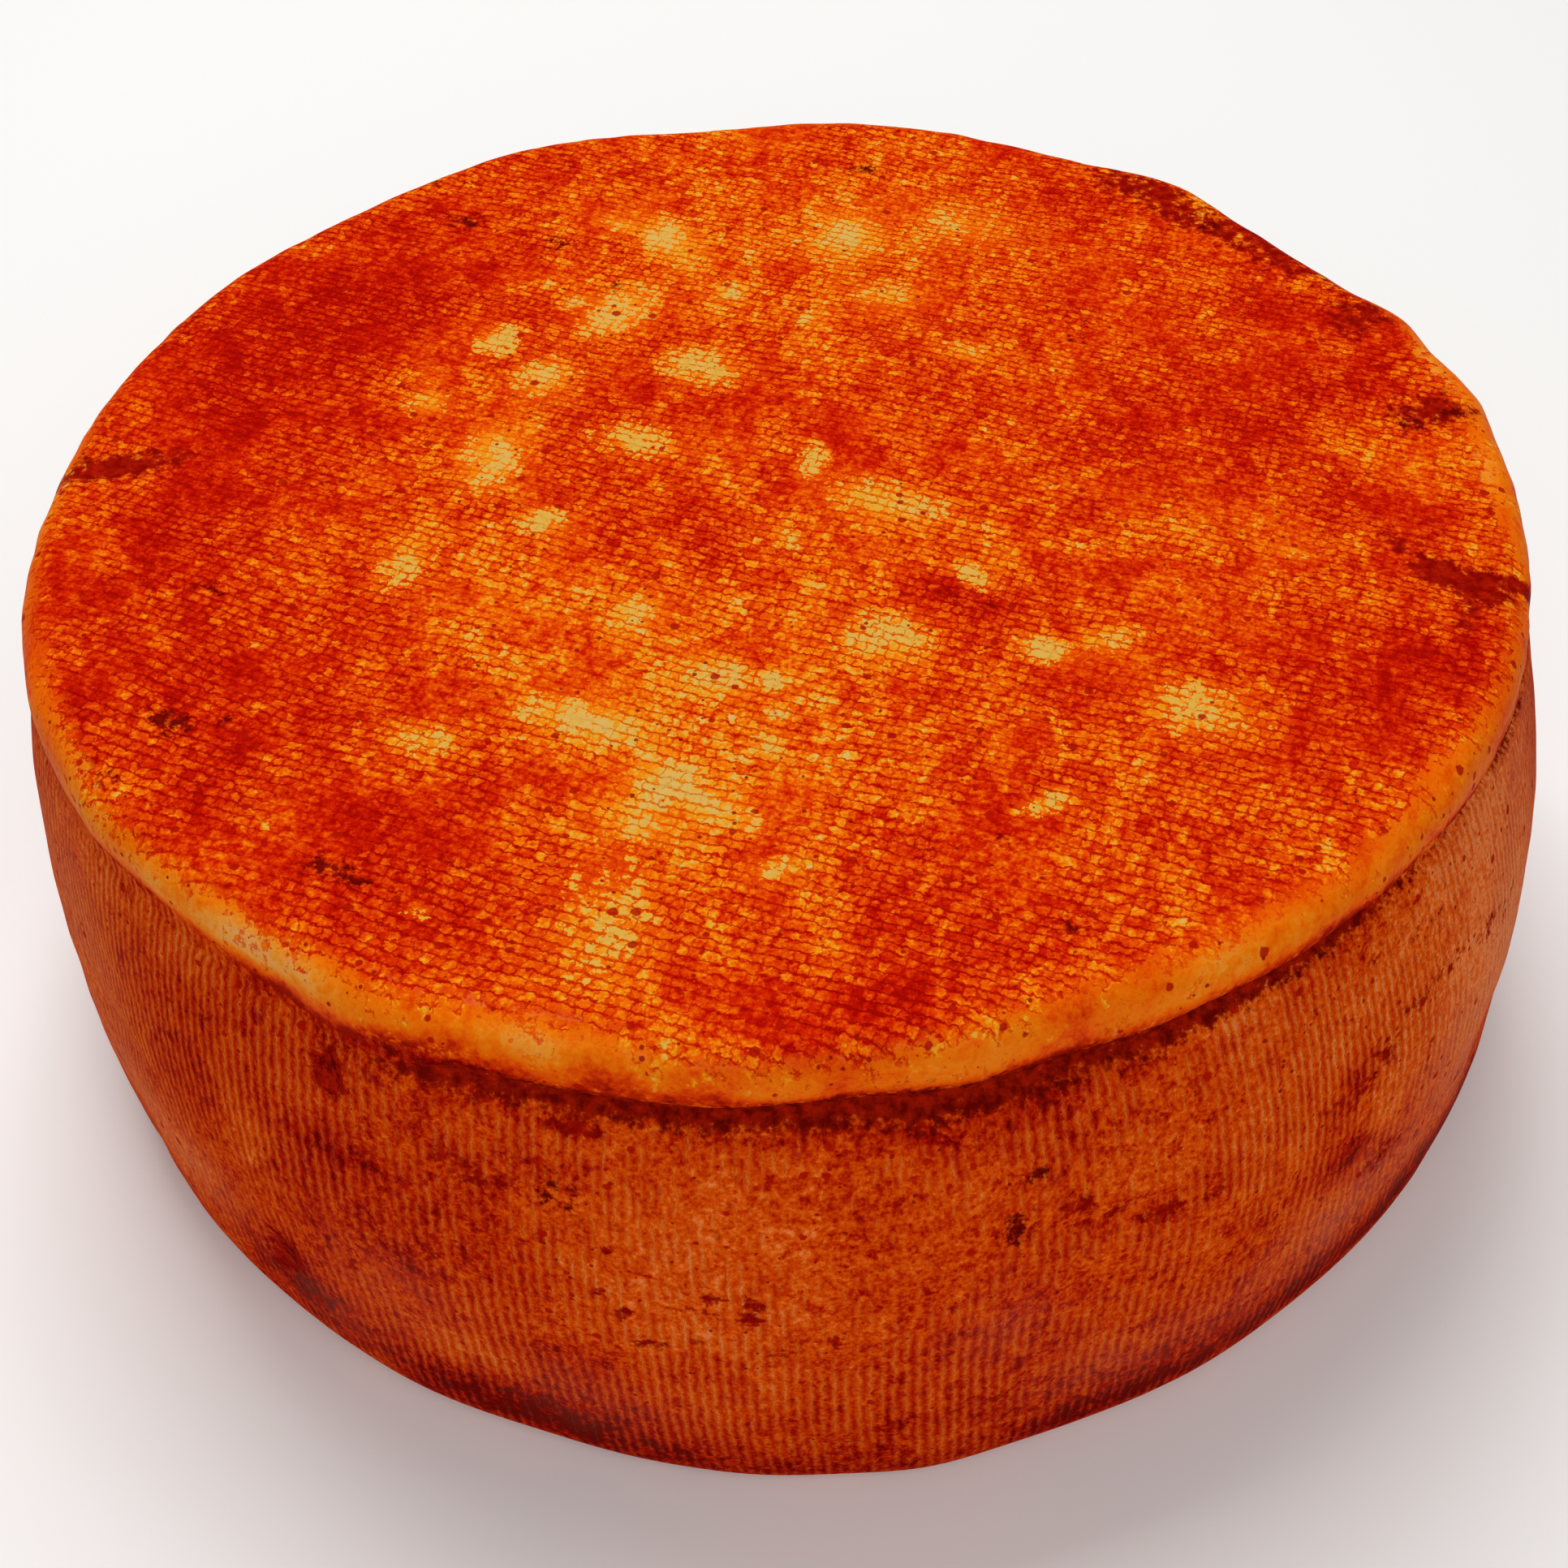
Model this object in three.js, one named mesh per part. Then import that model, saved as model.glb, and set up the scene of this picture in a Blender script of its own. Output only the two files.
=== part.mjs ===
// A pressed cheese wheel with a cloth-marked rind: one solid, standing on its flat base.
// Millimetres, +Z up, bearings in degrees round +Z from +X.
import * as THREE from 'three';

// Driving dimensions of the wheel.
const HEIGHT = 58;
const RIM_RADIUS = 70;
const BELLY_RADIUS = 74.8;
const BELLY_HEIGHT = 26;
const BASE_RADIUS = 67.2;
const FOOT_SQUARENESS = 3.1;
const LIP_ROUNDING = 3.4;

// The pressed seam: a groove that runs round the wheel just under the lip.
const SEAM_DROP = 6.5;
const SEAM_HALF_HEIGHT = 1.5;
const SEAM_SHALLOW = 0.15;
const SIDE_START_DROP = 6;

// The lower body sits a little off the axis of the rim.
const LEAN_X = 1.4;
const LEAN_Y = 0.45;
const LEAN_FADE = 1.5;

// Mesh fineness.
const SEGMENTS = 144;
const TOP_RINGS = [16, 32, 46, 56, 62.5];
const LIP_RINGS = 5;
const SEAM_RINGS = 6;
const SIDE_RINGS = 6;
const FOOT_RINGS = 5;

// Where the rim stands proud of a true circle or falls short of it.
const RIM_LOBES = [
  { bearing: -153, height: 1.45, halfWidth: 22 },
  { bearing: -116, height: 1.2, halfWidth: 7 },
  { bearing: -85, height: -0.7, halfWidth: 5 },
  { bearing: -69, height: -1.65, halfWidth: 10 },
  { bearing: -43, height: -0.85, halfWidth: 20 },
  { bearing: 13, height: 0.5, halfWidth: 3 },
  { bearing: 16, height: 1.35, halfWidth: 16 },
  { bearing: 25, height: 1.1, halfWidth: 3.5 },
  { bearing: 33, height: -0.95, halfWidth: 11 },
  { bearing: 52, height: 1.6, halfWidth: 6 },
  { bearing: 80, height: 0.45, halfWidth: 9 },
  { bearing: 97, height: -1.25, halfWidth: 8 },
  { bearing: 115, height: 0.5, halfWidth: 4 },
  { bearing: 134, height: -1.0, halfWidth: 10.5 },
  { bearing: 160, height: -0.5, halfWidth: 21 },
];

// The same for the belly and the foot.
const FOOT_LOBES = [
  { bearing: -147, height: -0.35, halfWidth: 4 },
  { bearing: -130, height: 0.5, halfWidth: 7 },
  { bearing: -109, height: -0.2, halfWidth: 6 },
  { bearing: -92, height: 0.3, halfWidth: 6 },
  { bearing: -81, height: 0.5, halfWidth: 5 },
  { bearing: -66, height: -0.35, halfWidth: 10 },
  { bearing: -51, height: -0.45, halfWidth: 8 },
  { bearing: -31, height: 0.3, halfWidth: 6 },
  { bearing: 20, height: -0.6, halfWidth: 14 },
  { bearing: 60, height: 0.5, halfWidth: 12 },
  { bearing: 105, height: -0.7, halfWidth: 15 },
  { bearing: 150, height: 0.6, halfWidth: 14 },
];
const LOBE_BLEND_FROM = 0.6;
const LOBE_BLEND_TO = 0.95;

// Stretches where the seam is pressed in deep.
const SEAM_STRETCHES = [
  { from: -122, to: -60, depth: 1.4, fade: 10 },
  { from: -50, to: -17, depth: 0.9, fade: 9 },
  { from: 60, to: 120, depth: 0.6, fade: 20 },
];

// Folds of the pressing cloth: shallow furrows that run in from the rim over the top.
const EDGE_FOLDS = [
  { bearing: 172, depth: 0.8, halfWidth: 2.6, reach: 16 },
  { bearing: -9, depth: 0.9, halfWidth: 2.6, reach: 15 },
];

// Dents on the side, where the mould pinched the rind.
const SIDE_DENTS = [
  { bearing: -145, z: 29, depth: 0.5, halfWidth: 4, halfHeight: 3 },
  { bearing: -27, z: 19, depth: 0.6, halfWidth: 4, halfHeight: 3 },
  { bearing: 75, z: 30, depth: 0.6, halfWidth: 8, halfHeight: 4 },
];

// Long low waves of the top, from crest to crest, and how far they rise and fall.
const TOP_WAVES = [
  { bearing: 35, length: 96, rise: 0.28, phase: 0.6 },
  { bearing: -62, length: 71, rise: 0.2, phase: 2.1 },
];
const TOP_DISH = 0.45;

/** Gives the turn from one bearing to another, between -180 and 180 degrees. */
function turn(from, to) {
  return THREE.MathUtils.euclideanModulo(to - from + 180, 360) - 180;
}

/** Gives a smooth hump that is 1 at its middle and falls off over its half width. */
function hump(distance, halfWidth) {
  return Math.exp(-((distance / halfWidth) ** 2));
}

/** Sums the lobes of an outline at one bearing. */
function outline(lobes, bearing) {
  let sum = 0;
  for (const lobe of lobes) {
    sum += lobe.height * hump(turn(lobe.bearing, bearing), lobe.halfWidth);
  }
  return sum;
}

/** Gives the depth of the pressed seam at one bearing. */
function seamDepth(bearing) {
  let depth = SEAM_SHALLOW;
  for (const stretch of SEAM_STRETCHES) {
    const middle = (stretch.from + stretch.to) / 2;
    const half = (stretch.to - stretch.from) / 2;
    const past = Math.abs(turn(middle, bearing)) - half;
    depth += stretch.depth * (1 - THREE.MathUtils.smoothstep(past, -stretch.fade, stretch.fade));
  }
  return depth;
}

/** Gives the radius of the side at one height, from the belly up to the seam. */
function sideRadius(z) {
  const top = HEIGHT - SIDE_START_DROP;
  const up = (z - BELLY_HEIGHT) / (top - BELLY_HEIGHT);
  return BELLY_RADIUS - (BELLY_RADIUS - RIM_RADIUS) * up * up;
}

/** Lists the half section of the wheel, from the middle of the base up to the middle of the top. */
function halfSection() {
  const points = [new THREE.Vector2(0, 0)];
  const bulge = BELLY_RADIUS - BASE_RADIUS;
  for (let ring = 0; ring <= FOOT_RINGS; ring += 1) {
    const drop = Math.cos((ring / FOOT_RINGS) * (Math.PI / 2));
    const out = (1 - drop ** FOOT_SQUARENESS) ** (1 / FOOT_SQUARENESS);
    points.push(new THREE.Vector2(BASE_RADIUS + bulge * out, BELLY_HEIGHT * (1 - drop)));
  }
  const seamFoot = HEIGHT - SEAM_DROP - 2 * SEAM_HALF_HEIGHT;
  for (let ring = 1; ring <= SIDE_RINGS; ring += 1) {
    const z = BELLY_HEIGHT + ((seamFoot - BELLY_HEIGHT) * ring) / SIDE_RINGS;
    points.push(new THREE.Vector2(sideRadius(z), z));
  }
  const lipFoot = HEIGHT - LIP_ROUNDING;
  for (let ring = 1; ring < SEAM_RINGS; ring += 1) {
    const z = seamFoot + ((lipFoot - seamFoot) * ring) / SEAM_RINGS;
    points.push(new THREE.Vector2(sideRadius(Math.min(z, HEIGHT - SIDE_START_DROP)), z));
  }
  for (let ring = 0; ring <= LIP_RINGS; ring += 1) {
    const angle = (Math.PI / 2) * (ring / LIP_RINGS);
    const r = RIM_RADIUS - LIP_ROUNDING * (1 - Math.cos(angle));
    points.push(new THREE.Vector2(r, lipFoot + LIP_ROUNDING * Math.sin(angle)));
  }
  for (const radius of [...TOP_RINGS].reverse()) {
    points.push(new THREE.Vector2(radius, HEIGHT));
  }
  points.push(new THREE.Vector2(0, HEIGHT));
  return points;
}

/** Gives how far the top lies above or below its mean plane at a place on it. */
function topRelief(x, y, radius, bearing) {
  const inner = 1 - (radius / RIM_RADIUS) ** 2;
  let lift = -TOP_DISH * inner;
  for (const wave of TOP_WAVES) {
    const heading = THREE.MathUtils.degToRad(wave.bearing);
    const along = x * Math.cos(heading) + y * Math.sin(heading);
    lift += wave.rise * inner * Math.sin((2 * Math.PI * along) / wave.length + wave.phase);
  }
  for (const fold of EDGE_FOLDS) {
    const inward = THREE.MathUtils.smoothstep(radius, RIM_RADIUS - fold.reach, RIM_RADIUS);
    lift -= fold.depth * inward * hump(turn(fold.bearing, bearing), fold.halfWidth);
  }
  return lift;
}

/** Gives how far the side is pressed in at a bearing and a height. */
function sidePress(bearing, z) {
  let press = seamDepth(bearing) * hump(z - (HEIGHT - SEAM_DROP), SEAM_HALF_HEIGHT);
  for (const dent of SIDE_DENTS) {
    const across = hump(turn(dent.bearing, bearing), dent.halfWidth);
    press += dent.depth * across * hump(z - dent.z, dent.halfHeight);
  }
  return press;
}

/** Moves one vertex of the true round wheel to its place on the uneven one. */
function unevenPlace(vertex) {
  const radius = Math.hypot(vertex.x, vertex.y);
  const bearing = THREE.MathUtils.radToDeg(Math.atan2(vertex.y, vertex.x));
  const level = THREE.MathUtils.clamp(vertex.z / HEIGHT, 0, 1);
  const rimShare = THREE.MathUtils.smoothstep(level, LOBE_BLEND_FROM, LOBE_BLEND_TO);
  const edge = THREE.MathUtils.smoothstep(radius, 0, RIM_RADIUS);
  let out = rimShare * outline(RIM_LOBES, bearing);
  out += (1 - rimShare) * outline(FOOT_LOBES, bearing);
  const grown = radius + out * edge - sidePress(bearing, vertex.z);
  const scale = radius > 0 ? grown / radius : 1;
  const onTop = vertex.z > HEIGHT - LIP_ROUNDING;
  const lift = onTop ? topRelief(vertex.x, vertex.y, radius, bearing) : 0;
  const risen = THREE.MathUtils.smoothstep(vertex.z, HEIGHT - LIP_ROUNDING, HEIGHT);
  const lean = 1 - Math.min(1, (level * HEIGHT) / (HEIGHT - SIDE_START_DROP)) ** LEAN_FADE;
  return new THREE.Vector3(
    vertex.x * scale + LEAN_X * lean,
    vertex.y * scale + LEAN_Y * lean,
    vertex.z + lift * risen,
  );
}

/** Builds the wheel as one closed body with the middle of its base at the origin. */
function cheeseWheelGeometry() {
  const geometry = new THREE.LatheGeometry(halfSection(), SEGMENTS);
  geometry.rotateX(Math.PI / 2);
  const position = geometry.getAttribute('position');
  const vertex = new THREE.Vector3();
  for (let index = 0; index < position.count; index += 1) {
    vertex.fromBufferAttribute(position, index);
    const moved = unevenPlace(vertex);
    position.setXYZ(index, moved.x, moved.y, moved.z);
  }
  geometry.computeBoundingBox();
  const middle = geometry.boundingBox.getCenter(new THREE.Vector3());
  geometry.translate(-middle.x, -middle.y, -geometry.boundingBox.min.z);
  geometry.computeVertexNormals();
  return geometry;
}

const rind = new THREE.MeshStandardMaterial({
  color: 0xd65a12,
  roughness: 0.48,
  metalness: 0,
});

const cheeseWheel = new THREE.Mesh(cheeseWheelGeometry(), rind);
cheeseWheel.name = 'cheese_wheel';

const part = new THREE.Group();
part.add(cheeseWheel);

export default part;
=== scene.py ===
"""A whole cheese wheel with a paprika-rubbed rind that was pressed in cloth.

The wheel is one piece: a half section spun round its axis, then moved out of round, pressed in at
the seam and dented. Marks on the rind (rubbed patches, the smooth lip, the seam, mould) are kept on
the mesh as named attributes, which the rind's finish reads.
"""

import logging
import math
from dataclasses import dataclass
from enum import Enum
from typing import Any, TypeVar

import bmesh
import bpy
import numpy as np
from mathutils import Matrix, Vector, noise


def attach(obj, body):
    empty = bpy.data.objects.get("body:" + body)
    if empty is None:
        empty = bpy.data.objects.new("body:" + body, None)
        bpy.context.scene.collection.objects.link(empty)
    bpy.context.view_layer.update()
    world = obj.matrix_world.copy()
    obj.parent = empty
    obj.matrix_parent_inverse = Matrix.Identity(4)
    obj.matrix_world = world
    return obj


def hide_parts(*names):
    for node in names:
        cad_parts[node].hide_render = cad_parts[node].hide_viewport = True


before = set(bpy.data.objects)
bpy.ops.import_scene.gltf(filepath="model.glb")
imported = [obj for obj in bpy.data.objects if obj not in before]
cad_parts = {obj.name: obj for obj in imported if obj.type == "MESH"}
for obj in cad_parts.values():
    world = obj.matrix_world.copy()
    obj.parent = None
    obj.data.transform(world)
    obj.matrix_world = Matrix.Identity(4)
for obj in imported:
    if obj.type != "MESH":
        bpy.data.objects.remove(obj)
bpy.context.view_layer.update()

MM = 0.001
BELLY_RADIUS = 74.8
# The middle of the rim, in mm from the frame's axis.
RIM_AXIS = (-0.930, -0.025)
LOG = logging.getLogger("cheese_wheel")

Array = np.ndarray
Line = tuple[tuple[float, float], ...]
Inputs = dict[str | int, Any]
Stops = tuple[tuple[float, str], ...]


class Mark(Enum):
    """The named marks that the mesh carries for its finish."""

    RUB = "rub"
    DEPTH = "depth"
    LIP = "lip"
    PALE = "pale"
    SEAM = "seam"
    FOLD = "fold"
    MOULD = "mould"
    CLOTH = "cloth"
    LIP_FOOT = "lip_foot"
    SIDE = "side"
    # Pale bloom, and painted sheen towards the side's left and right edges.
    BLOOM = "bloom_and_sheen"


ROUND_PLACE = "round_place"


# --------------------------------------------------------------------------------------------------
# Small tools
# --------------------------------------------------------------------------------------------------


def linear(colour: str) -> tuple[float, float, float, float]:
    """Turns an sRGB hex colour to linear light.

    Args:
        colour: six hex digits.

    Returns:
        Red, green, blue and a full alpha.
    """
    parts = []
    for start in (0, 2, 4):
        value = int(colour[start:start + 2], 16) / 255
        parts.append(value / 12.92 if value <= 0.04045 else ((value + 0.055) / 1.055) ** 2.4)
    return (parts[0], parts[1], parts[2], 1.0)


def hump(distance: Array, half_width: float) -> Array:
    """Gives a smooth hump that is 1 at its middle and falls off over its half width."""
    return np.exp(-((distance / half_width) ** 2))


def turn(start: float, end: Array) -> Array:
    """Gives the turn from one bearing to another, between -180 and 180 degrees."""
    return (end - start + 180) % 360 - 180


def ease(value: Array, low: float, high: float) -> Array:
    """Rises smoothly from 0 at low to 1 at high."""
    share = np.clip((value - low) / (high - low), 0, 1)
    return share * share * (3 - 2 * share)


def follow(points: Line, bearing: Array) -> Array:
    """Reads a value that changes round the wheel.

    Args:
        points: bearing and value pairs, in rising order of bearing.
        bearing: where to read it, in degrees.

    Returns:
        The value at each bearing, in straight steps from point to point and round the back.
    """
    bearings = [point[0] for point in points]
    values = [point[1] for point in points]
    return np.interp(bearing, bearings, values, period=360)


def rough(places: Array, grain: float, seed: float) -> Array:
    """Gives smooth noise from -1 to 1 at each place.

    Args:
        places: points in millimetres, one row each.
        grain: size of the noise's lumps in millimetres.
        seed: shifts the noise, so that each use has its own.

    Returns:
        One value for each row.
    """
    return np.array([noise.noise(Vector(place) / grain + Vector((seed, seed, seed))) for place in places])


@dataclass(frozen=True)
class Nodes:
    """The node tree of a finish or of the room's light, while its nodes are being added."""

    tree: bpy.types.NodeTree

    def add(self, kind: str, inputs: Inputs, **settings: Any) -> bpy.types.Node:
        """Adds one node with its settings, values and links.

        Args:
            kind: Blender's name for the kind of node.
            inputs: for each input, by name or number, a value, a socket, or a node for its first output.
            **settings: the node's own settings.

        Returns:
            The new node.
        """
        node = self.tree.nodes.new(kind)
        for name, setting in settings.items():
            setattr(node, name, setting)
        for key, value in inputs.items():
            source = value.outputs[0] if isinstance(value, bpy.types.Node) else value
            if isinstance(source, bpy.types.NodeSocket):
                self.tree.links.new(source, node.inputs[key])
            else:
                node.inputs[key].default_value = source
        return node

    def weigh(self, start: Any, *parts: tuple[Any, float]) -> bpy.types.Node:
        """Adds weighted values to a start value.

        Args:
            start: a number, a socket or a node.
            *parts: each value to add, with its weight.

        Returns:
            The node that gives the sum.
        """
        result = start
        for value, weight in parts:
            result = self.add(
                "ShaderNodeMath", {0: value, 1: weight, 2: result}, operation="MULTIPLY_ADD",
            )
        return result


def blank_material(name: str) -> tuple[bpy.types.Material, Nodes]:
    """Makes a material without nodes, and gives it with its empty tree."""
    material = bpy.data.materials.new(name)
    material.use_nodes = True
    material.node_tree.nodes.clear()
    return material, Nodes(material.node_tree)


def set_stops(ramp: bpy.types.Node, stops: Stops) -> bpy.types.NodeSocket:
    """Gives a colour ramp its stops.

    Args:
        ramp: a colour ramp node.
        stops: place and hex colour of each stop, in rising order.

    Returns:
        The ramp's colour.
    """
    elements = ramp.color_ramp.elements
    while len(elements) < len(stops):
        elements.new(1.0)
    for element, (place, colour) in zip(elements, stops):
        element.position = place
        element.color = linear(colour)
    return ramp.outputs["Color"]


# --------------------------------------------------------------------------------------------------
# Marks on the rind
# --------------------------------------------------------------------------------------------------


@dataclass(frozen=True)
class Patch:
    """An oval mark on the top: its middle from the rim's axis, half sizes in mm, heading in degrees."""

    x: float
    y: float
    length: float
    width: float
    strength: float = 1.0
    heading: float = -20.85

    def share(self, x: Array, y: Array) -> Array:
        """Gives how strong the mark is at each place on the top."""
        heading = math.radians(self.heading)
        along = (x - self.x) * math.cos(heading) + (y - self.y) * math.sin(heading)
        across = (y - self.y) * math.cos(heading) - (x - self.x) * math.sin(heading)
        return self.strength * np.exp(-((along / self.length) ** 2) - (across / self.width) ** 2)


@dataclass(frozen=True)
class SidePatch:
    """An oval mark on the side: bearing of its middle in degrees, the rest in mm."""

    bearing: float
    z: float
    width: float
    height: float
    strength: float = 1.0

    def share(self, bearing: Array, z: Array) -> Array:
        """Gives how strong the mark is at each place on the side."""
        arc = np.radians(turn(self.bearing, bearing)) * BELLY_RADIUS
        return self.strength * hump(arc, self.width) * hump(z - self.z, self.height)


Oval = TypeVar("Oval", Patch, SidePatch)


def marks_of(kind: type[Oval], *rows: tuple[float, ...]) -> tuple[Oval, ...]:
    """Makes one oval mark of each row of numbers, which come in the order of the kind's fields.

    Args:
        kind: the class of the marks.
        *rows: the numbers of each mark.

    Returns:
        The marks, in the order of the rows.
    """
    return tuple(kind(*row) for row in rows)


def total(ovals: tuple[Oval, ...], *place: Array) -> Array:
    """Sums the shares that the marks have at each place."""
    return sum(oval.share(*place) for oval in ovals)


def strongest(ovals: tuple[Oval, ...], *place: Array) -> Array:
    """Gives the share of the strongest mark at each place."""
    return np.max([oval.share(*place) for oval in ovals], axis=0)


@dataclass(frozen=True)
class Lobe:
    """A swelling or a hollow of the outline: bearing, height in mm and half width in degrees."""

    bearing: float
    height: float
    half_width: float


@dataclass(frozen=True)
class EdgeFold:
    """A furrow that a fold of the pressing cloth left, from the rim in over the top."""

    bearing: float
    depth: float
    half_width: float
    reach: float


@dataclass(frozen=True)
class Dent:
    """A dent in the side: bearing, height, depth, half width in degrees and half height."""

    bearing: float
    z: float
    depth: float
    half_width: float
    half_height: float


@dataclass(frozen=True)
class Lumps:
    """Shallow lumps that the press and the mould leave: size and depth in mm, and the noise's seed."""

    size: float
    depth: float
    seed: float

    def rise(self, places: Array, middle: float = 0.0) -> Array:
        """Gives the lumps' height at each place, round a middle of so many times their depth."""
        return self.depth * (middle + rough(places, self.size, self.seed))


@dataclass(frozen=True)
class Wave:
    """A long low wave of the top."""

    bearing: float
    length: float
    rise: float
    phase: float


# Rubbed patches on the top, where the pale cheese shows through.
RUBBED = marks_of(
    Patch,
    (-9.6, -39.6, 2.7, 2.5, 1.25, 0), (-6, -42.1, 3.7, 1.5, 1.25, -33),
    (-10.6, -41.8, 1.9, 1.3, 1.05, 0), (-11, -44.5, 4.5, 2, 0.55), (10, -2, 4.8, 2.4, 1.2),
    (9.5, -21, 3.2, 3.2, 1, 60), (23, -22.5, 2.6, 1.5, 1.1), (29, -21.5, 2.6, 1.6, 1, 20),
    (18, -13, 2.4, 1.3, 0.9, -50), (20, -11, 1.8, 1, 0.9, 30), (-17, -31.5, 5.2, 2, 1.1),
    (-6, -26, 3, 2.2, 0.8), (-0.6, -26.6, 1.3, 1.1, 1), (-0.2, -30.8, 1.1, 0.9, 1.05),
    (-1, -34.6, 2.4, 1, 0.9, -58), (0.5, -49.2, 2.4, 1, 1, 10), (-13, -17.5, 2.8, 2, 1, 60),
    (-14, 8, 4.2, 2.5, 0.9), (-28, 5, 2.3, 4.2, 1.15, 0), (-23.5, 18.5, 3, 2.6, 1.25, 60),
    (-8, 20, 3.6, 2.8, 1.15), (-35, 14.5, 2, 2.2, 1, 0), (-29, 25, 2.6, 2, 1.05, 40),
    (-17, 30, 2.8, 4.4, 1.2, -30), (-21.5, 32, 1.4, 1.4, 1.1), (-12, 43.5, 2.2, 5, 1.15, 30),
    (-17, 46.5, 2.6, 1.3, 1), (-14, 44, 1.2, 3.4, 1, 18), (7, 44, 3.6, 4.6, 1.1, 0),
    (-5.5, 33.5, 1.5, 1.7, 1), (11, 33, 3.4, 2.6, 0.65), (2.5, 28.5, 1, 1.5, 0.9),
    (18.5, 22.5, 2.6, 1.4, 0.8), (-34.5, -10, 2.2, 4.8, 0.75, -20), (36, -31, 5, 3, 0.85),
    (47, -9, 2, 1.2, 0.8), (22, -42, 2.4, 1, 0.9, 20), (-22, -5, 2.8, 2, 0.8),
    (0.5, -7, 1.8, 1.2, 0.9, -50), (3, 4, 1.4, 3, 0.7, 0), (-31, -34, 3, 1.8, 0.8),
    (-29, -54, 1.2, 0.8, 1), (-14, -55, 4, 7, 0.62, 0), (20, 47, 5, 4, 0.5, 0),
)

# Broad ground of the rubbed-in paprika: more than nought is lighter, less than nought is redder.
GROUND = marks_of(
    Patch,
    (-8, -26, 14, 10, 0.20), (-17, -32, 12, 6, 0.10), (-7, -44, 12, 12, 0.16),
    (9, -19, 9, 10, 0.10, 60), (-25, -14, 8, 10, 0.12), (6, 50, 24, 13, 0.14, 0),
    (-16, 36, 12, 14, 0.04, -40), (-26, 12, 9, 12, 0.12, 0), (10, 0, 14, 8, 0.02),
    (56, 6, 7, 5.5, 0.20), (40, -12, 9, 7, 0.12), (34, -34, 16, 9, 0.05), (-45, -8, 9, 12, 0.05),
    (20, 30, 14, 10, 0.06), (-55, 28, 14, 16, -0.21, 60), (-41, 34, 14, 10, -0.20, 50),
    (-54, -6, 10, 22, -0.14, 0), (-48, -32, 12, 14, -0.16, -30), (-30, -48, 10, 8, -0.16),
    (-48, 12, 12, 10, -0.10), (53, -26, 12, 14, -0.17, 60), (47, 20, 16, 12, -0.10, -40),
    (22, 14, 14, 8, -0.05), (12, 17, 6, 3, -0.10), (-20, 12.5, 4, 5, -0.18), (36, 10, 6, 5, -0.13),
    (16.5, -16, 4.5, 3.5, -0.36), (8, -63.5, 5, 3.5, -0.28, 10), (-31, -55, 5, 3, -0.22),
    (2, 8, 5, 4, -0.10), (5, 21, 6, 5, 0.10), (-15, 11, 7, 5, -0.08), (53, -3, 7, 5, -0.08),
    (41, -50, 6, 4, 0.08), (-27, -40, 8, 4, 0.06), (-30, 60, 6, 5, -0.10), (27, 60, 8, 5, -0.11),
    (-31, 40, 6, 6, 0.05), (60, 22, 5, 8, -0.10), (49, 8, 6, 5, -0.08), (60, -12, 5, 6, -0.09),
    (10, 0, 5, 4, -0.06), (-30, -10, 6, 5, -0.08), (-10, -20, 5, 5, -0.10), (-20, -29, 6, 4, -0.06),
    (-19, -50, 6, 5, -0.07), (10, -30, 5, 4, -0.07), (20, -39, 6, 4, -0.06), (40, -12, 6, 5, -0.07),
    (48, -39, 6, 5, -0.06), (-60, -10, 5, 7, -0.06), (51, -21, 5, 5, 0.06), (50, 21, 5, 5, 0.06),
    (-20, 9, 6, 4, -0.05), (-3, -13, 8, 4, -0.10), (14, -50, 12, 10, -0.03), (32, 52, 6, 5, -0.18, -40),
    (11, 59, 6, 5, -0.05, 0), (-6, 57, 7, 6, 0.05, 0), (0, 40, 14, 5, -0.03, 0), (53, 40, 7, 5, -0.04),
    (-58, 30, 6, 5, 0.06), (59, 20, 5, 5, -0.06), (51, 5, 6, 8, -0.08, 0), (60, -9, 5, 5, -0.06),
    (5, -4, 7, 5, 0.04), (-20, -10, 12, 5, -0.04, 0), (-38, -20, 5, 5, -0.05), (-10, -21, 5, 4, -0.03),
    (10, -19, 4, 4, -0.04), (40, -20, 5, 5, 0.04), (-60, -30, 5, 5, -0.04), (35, -31, 7, 5, -0.06),
    (-49, -40, 6, 5, -0.05), (1, -40, 5, 4, 0.05), (20, -40, 5, 4, -0.04), (-14, -50, 6, 4, -0.04),
    (0, -51, 5, 4, -0.04), (40, -49, 5, 5, 0.04), (10, -52, 4, 4, 0.04), (-29, -59, 6, 5, 0.05),
    (40, 50, 5, 4, 0.06, -40), (-15, 10, 8, 5, -0.05, 0), (10, -20, 4, 4, -0.05),
    (20, -20, 5, 4, -0.04), (10, 20, 5, 4, 0.05), (-57, 32, 6, 4, 0.05), (8, -11, 5, 4, 0.05),
    (-30, -30, 6, 4, -0.05), (60, 10, 4, 4, 0.06), (4, -54, 30, 9, -0.04, 0), (-28, 8, 7, 6, 0.05, 0),
    (38, 8, 12, 10, -0.03, 0),
)

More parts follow.
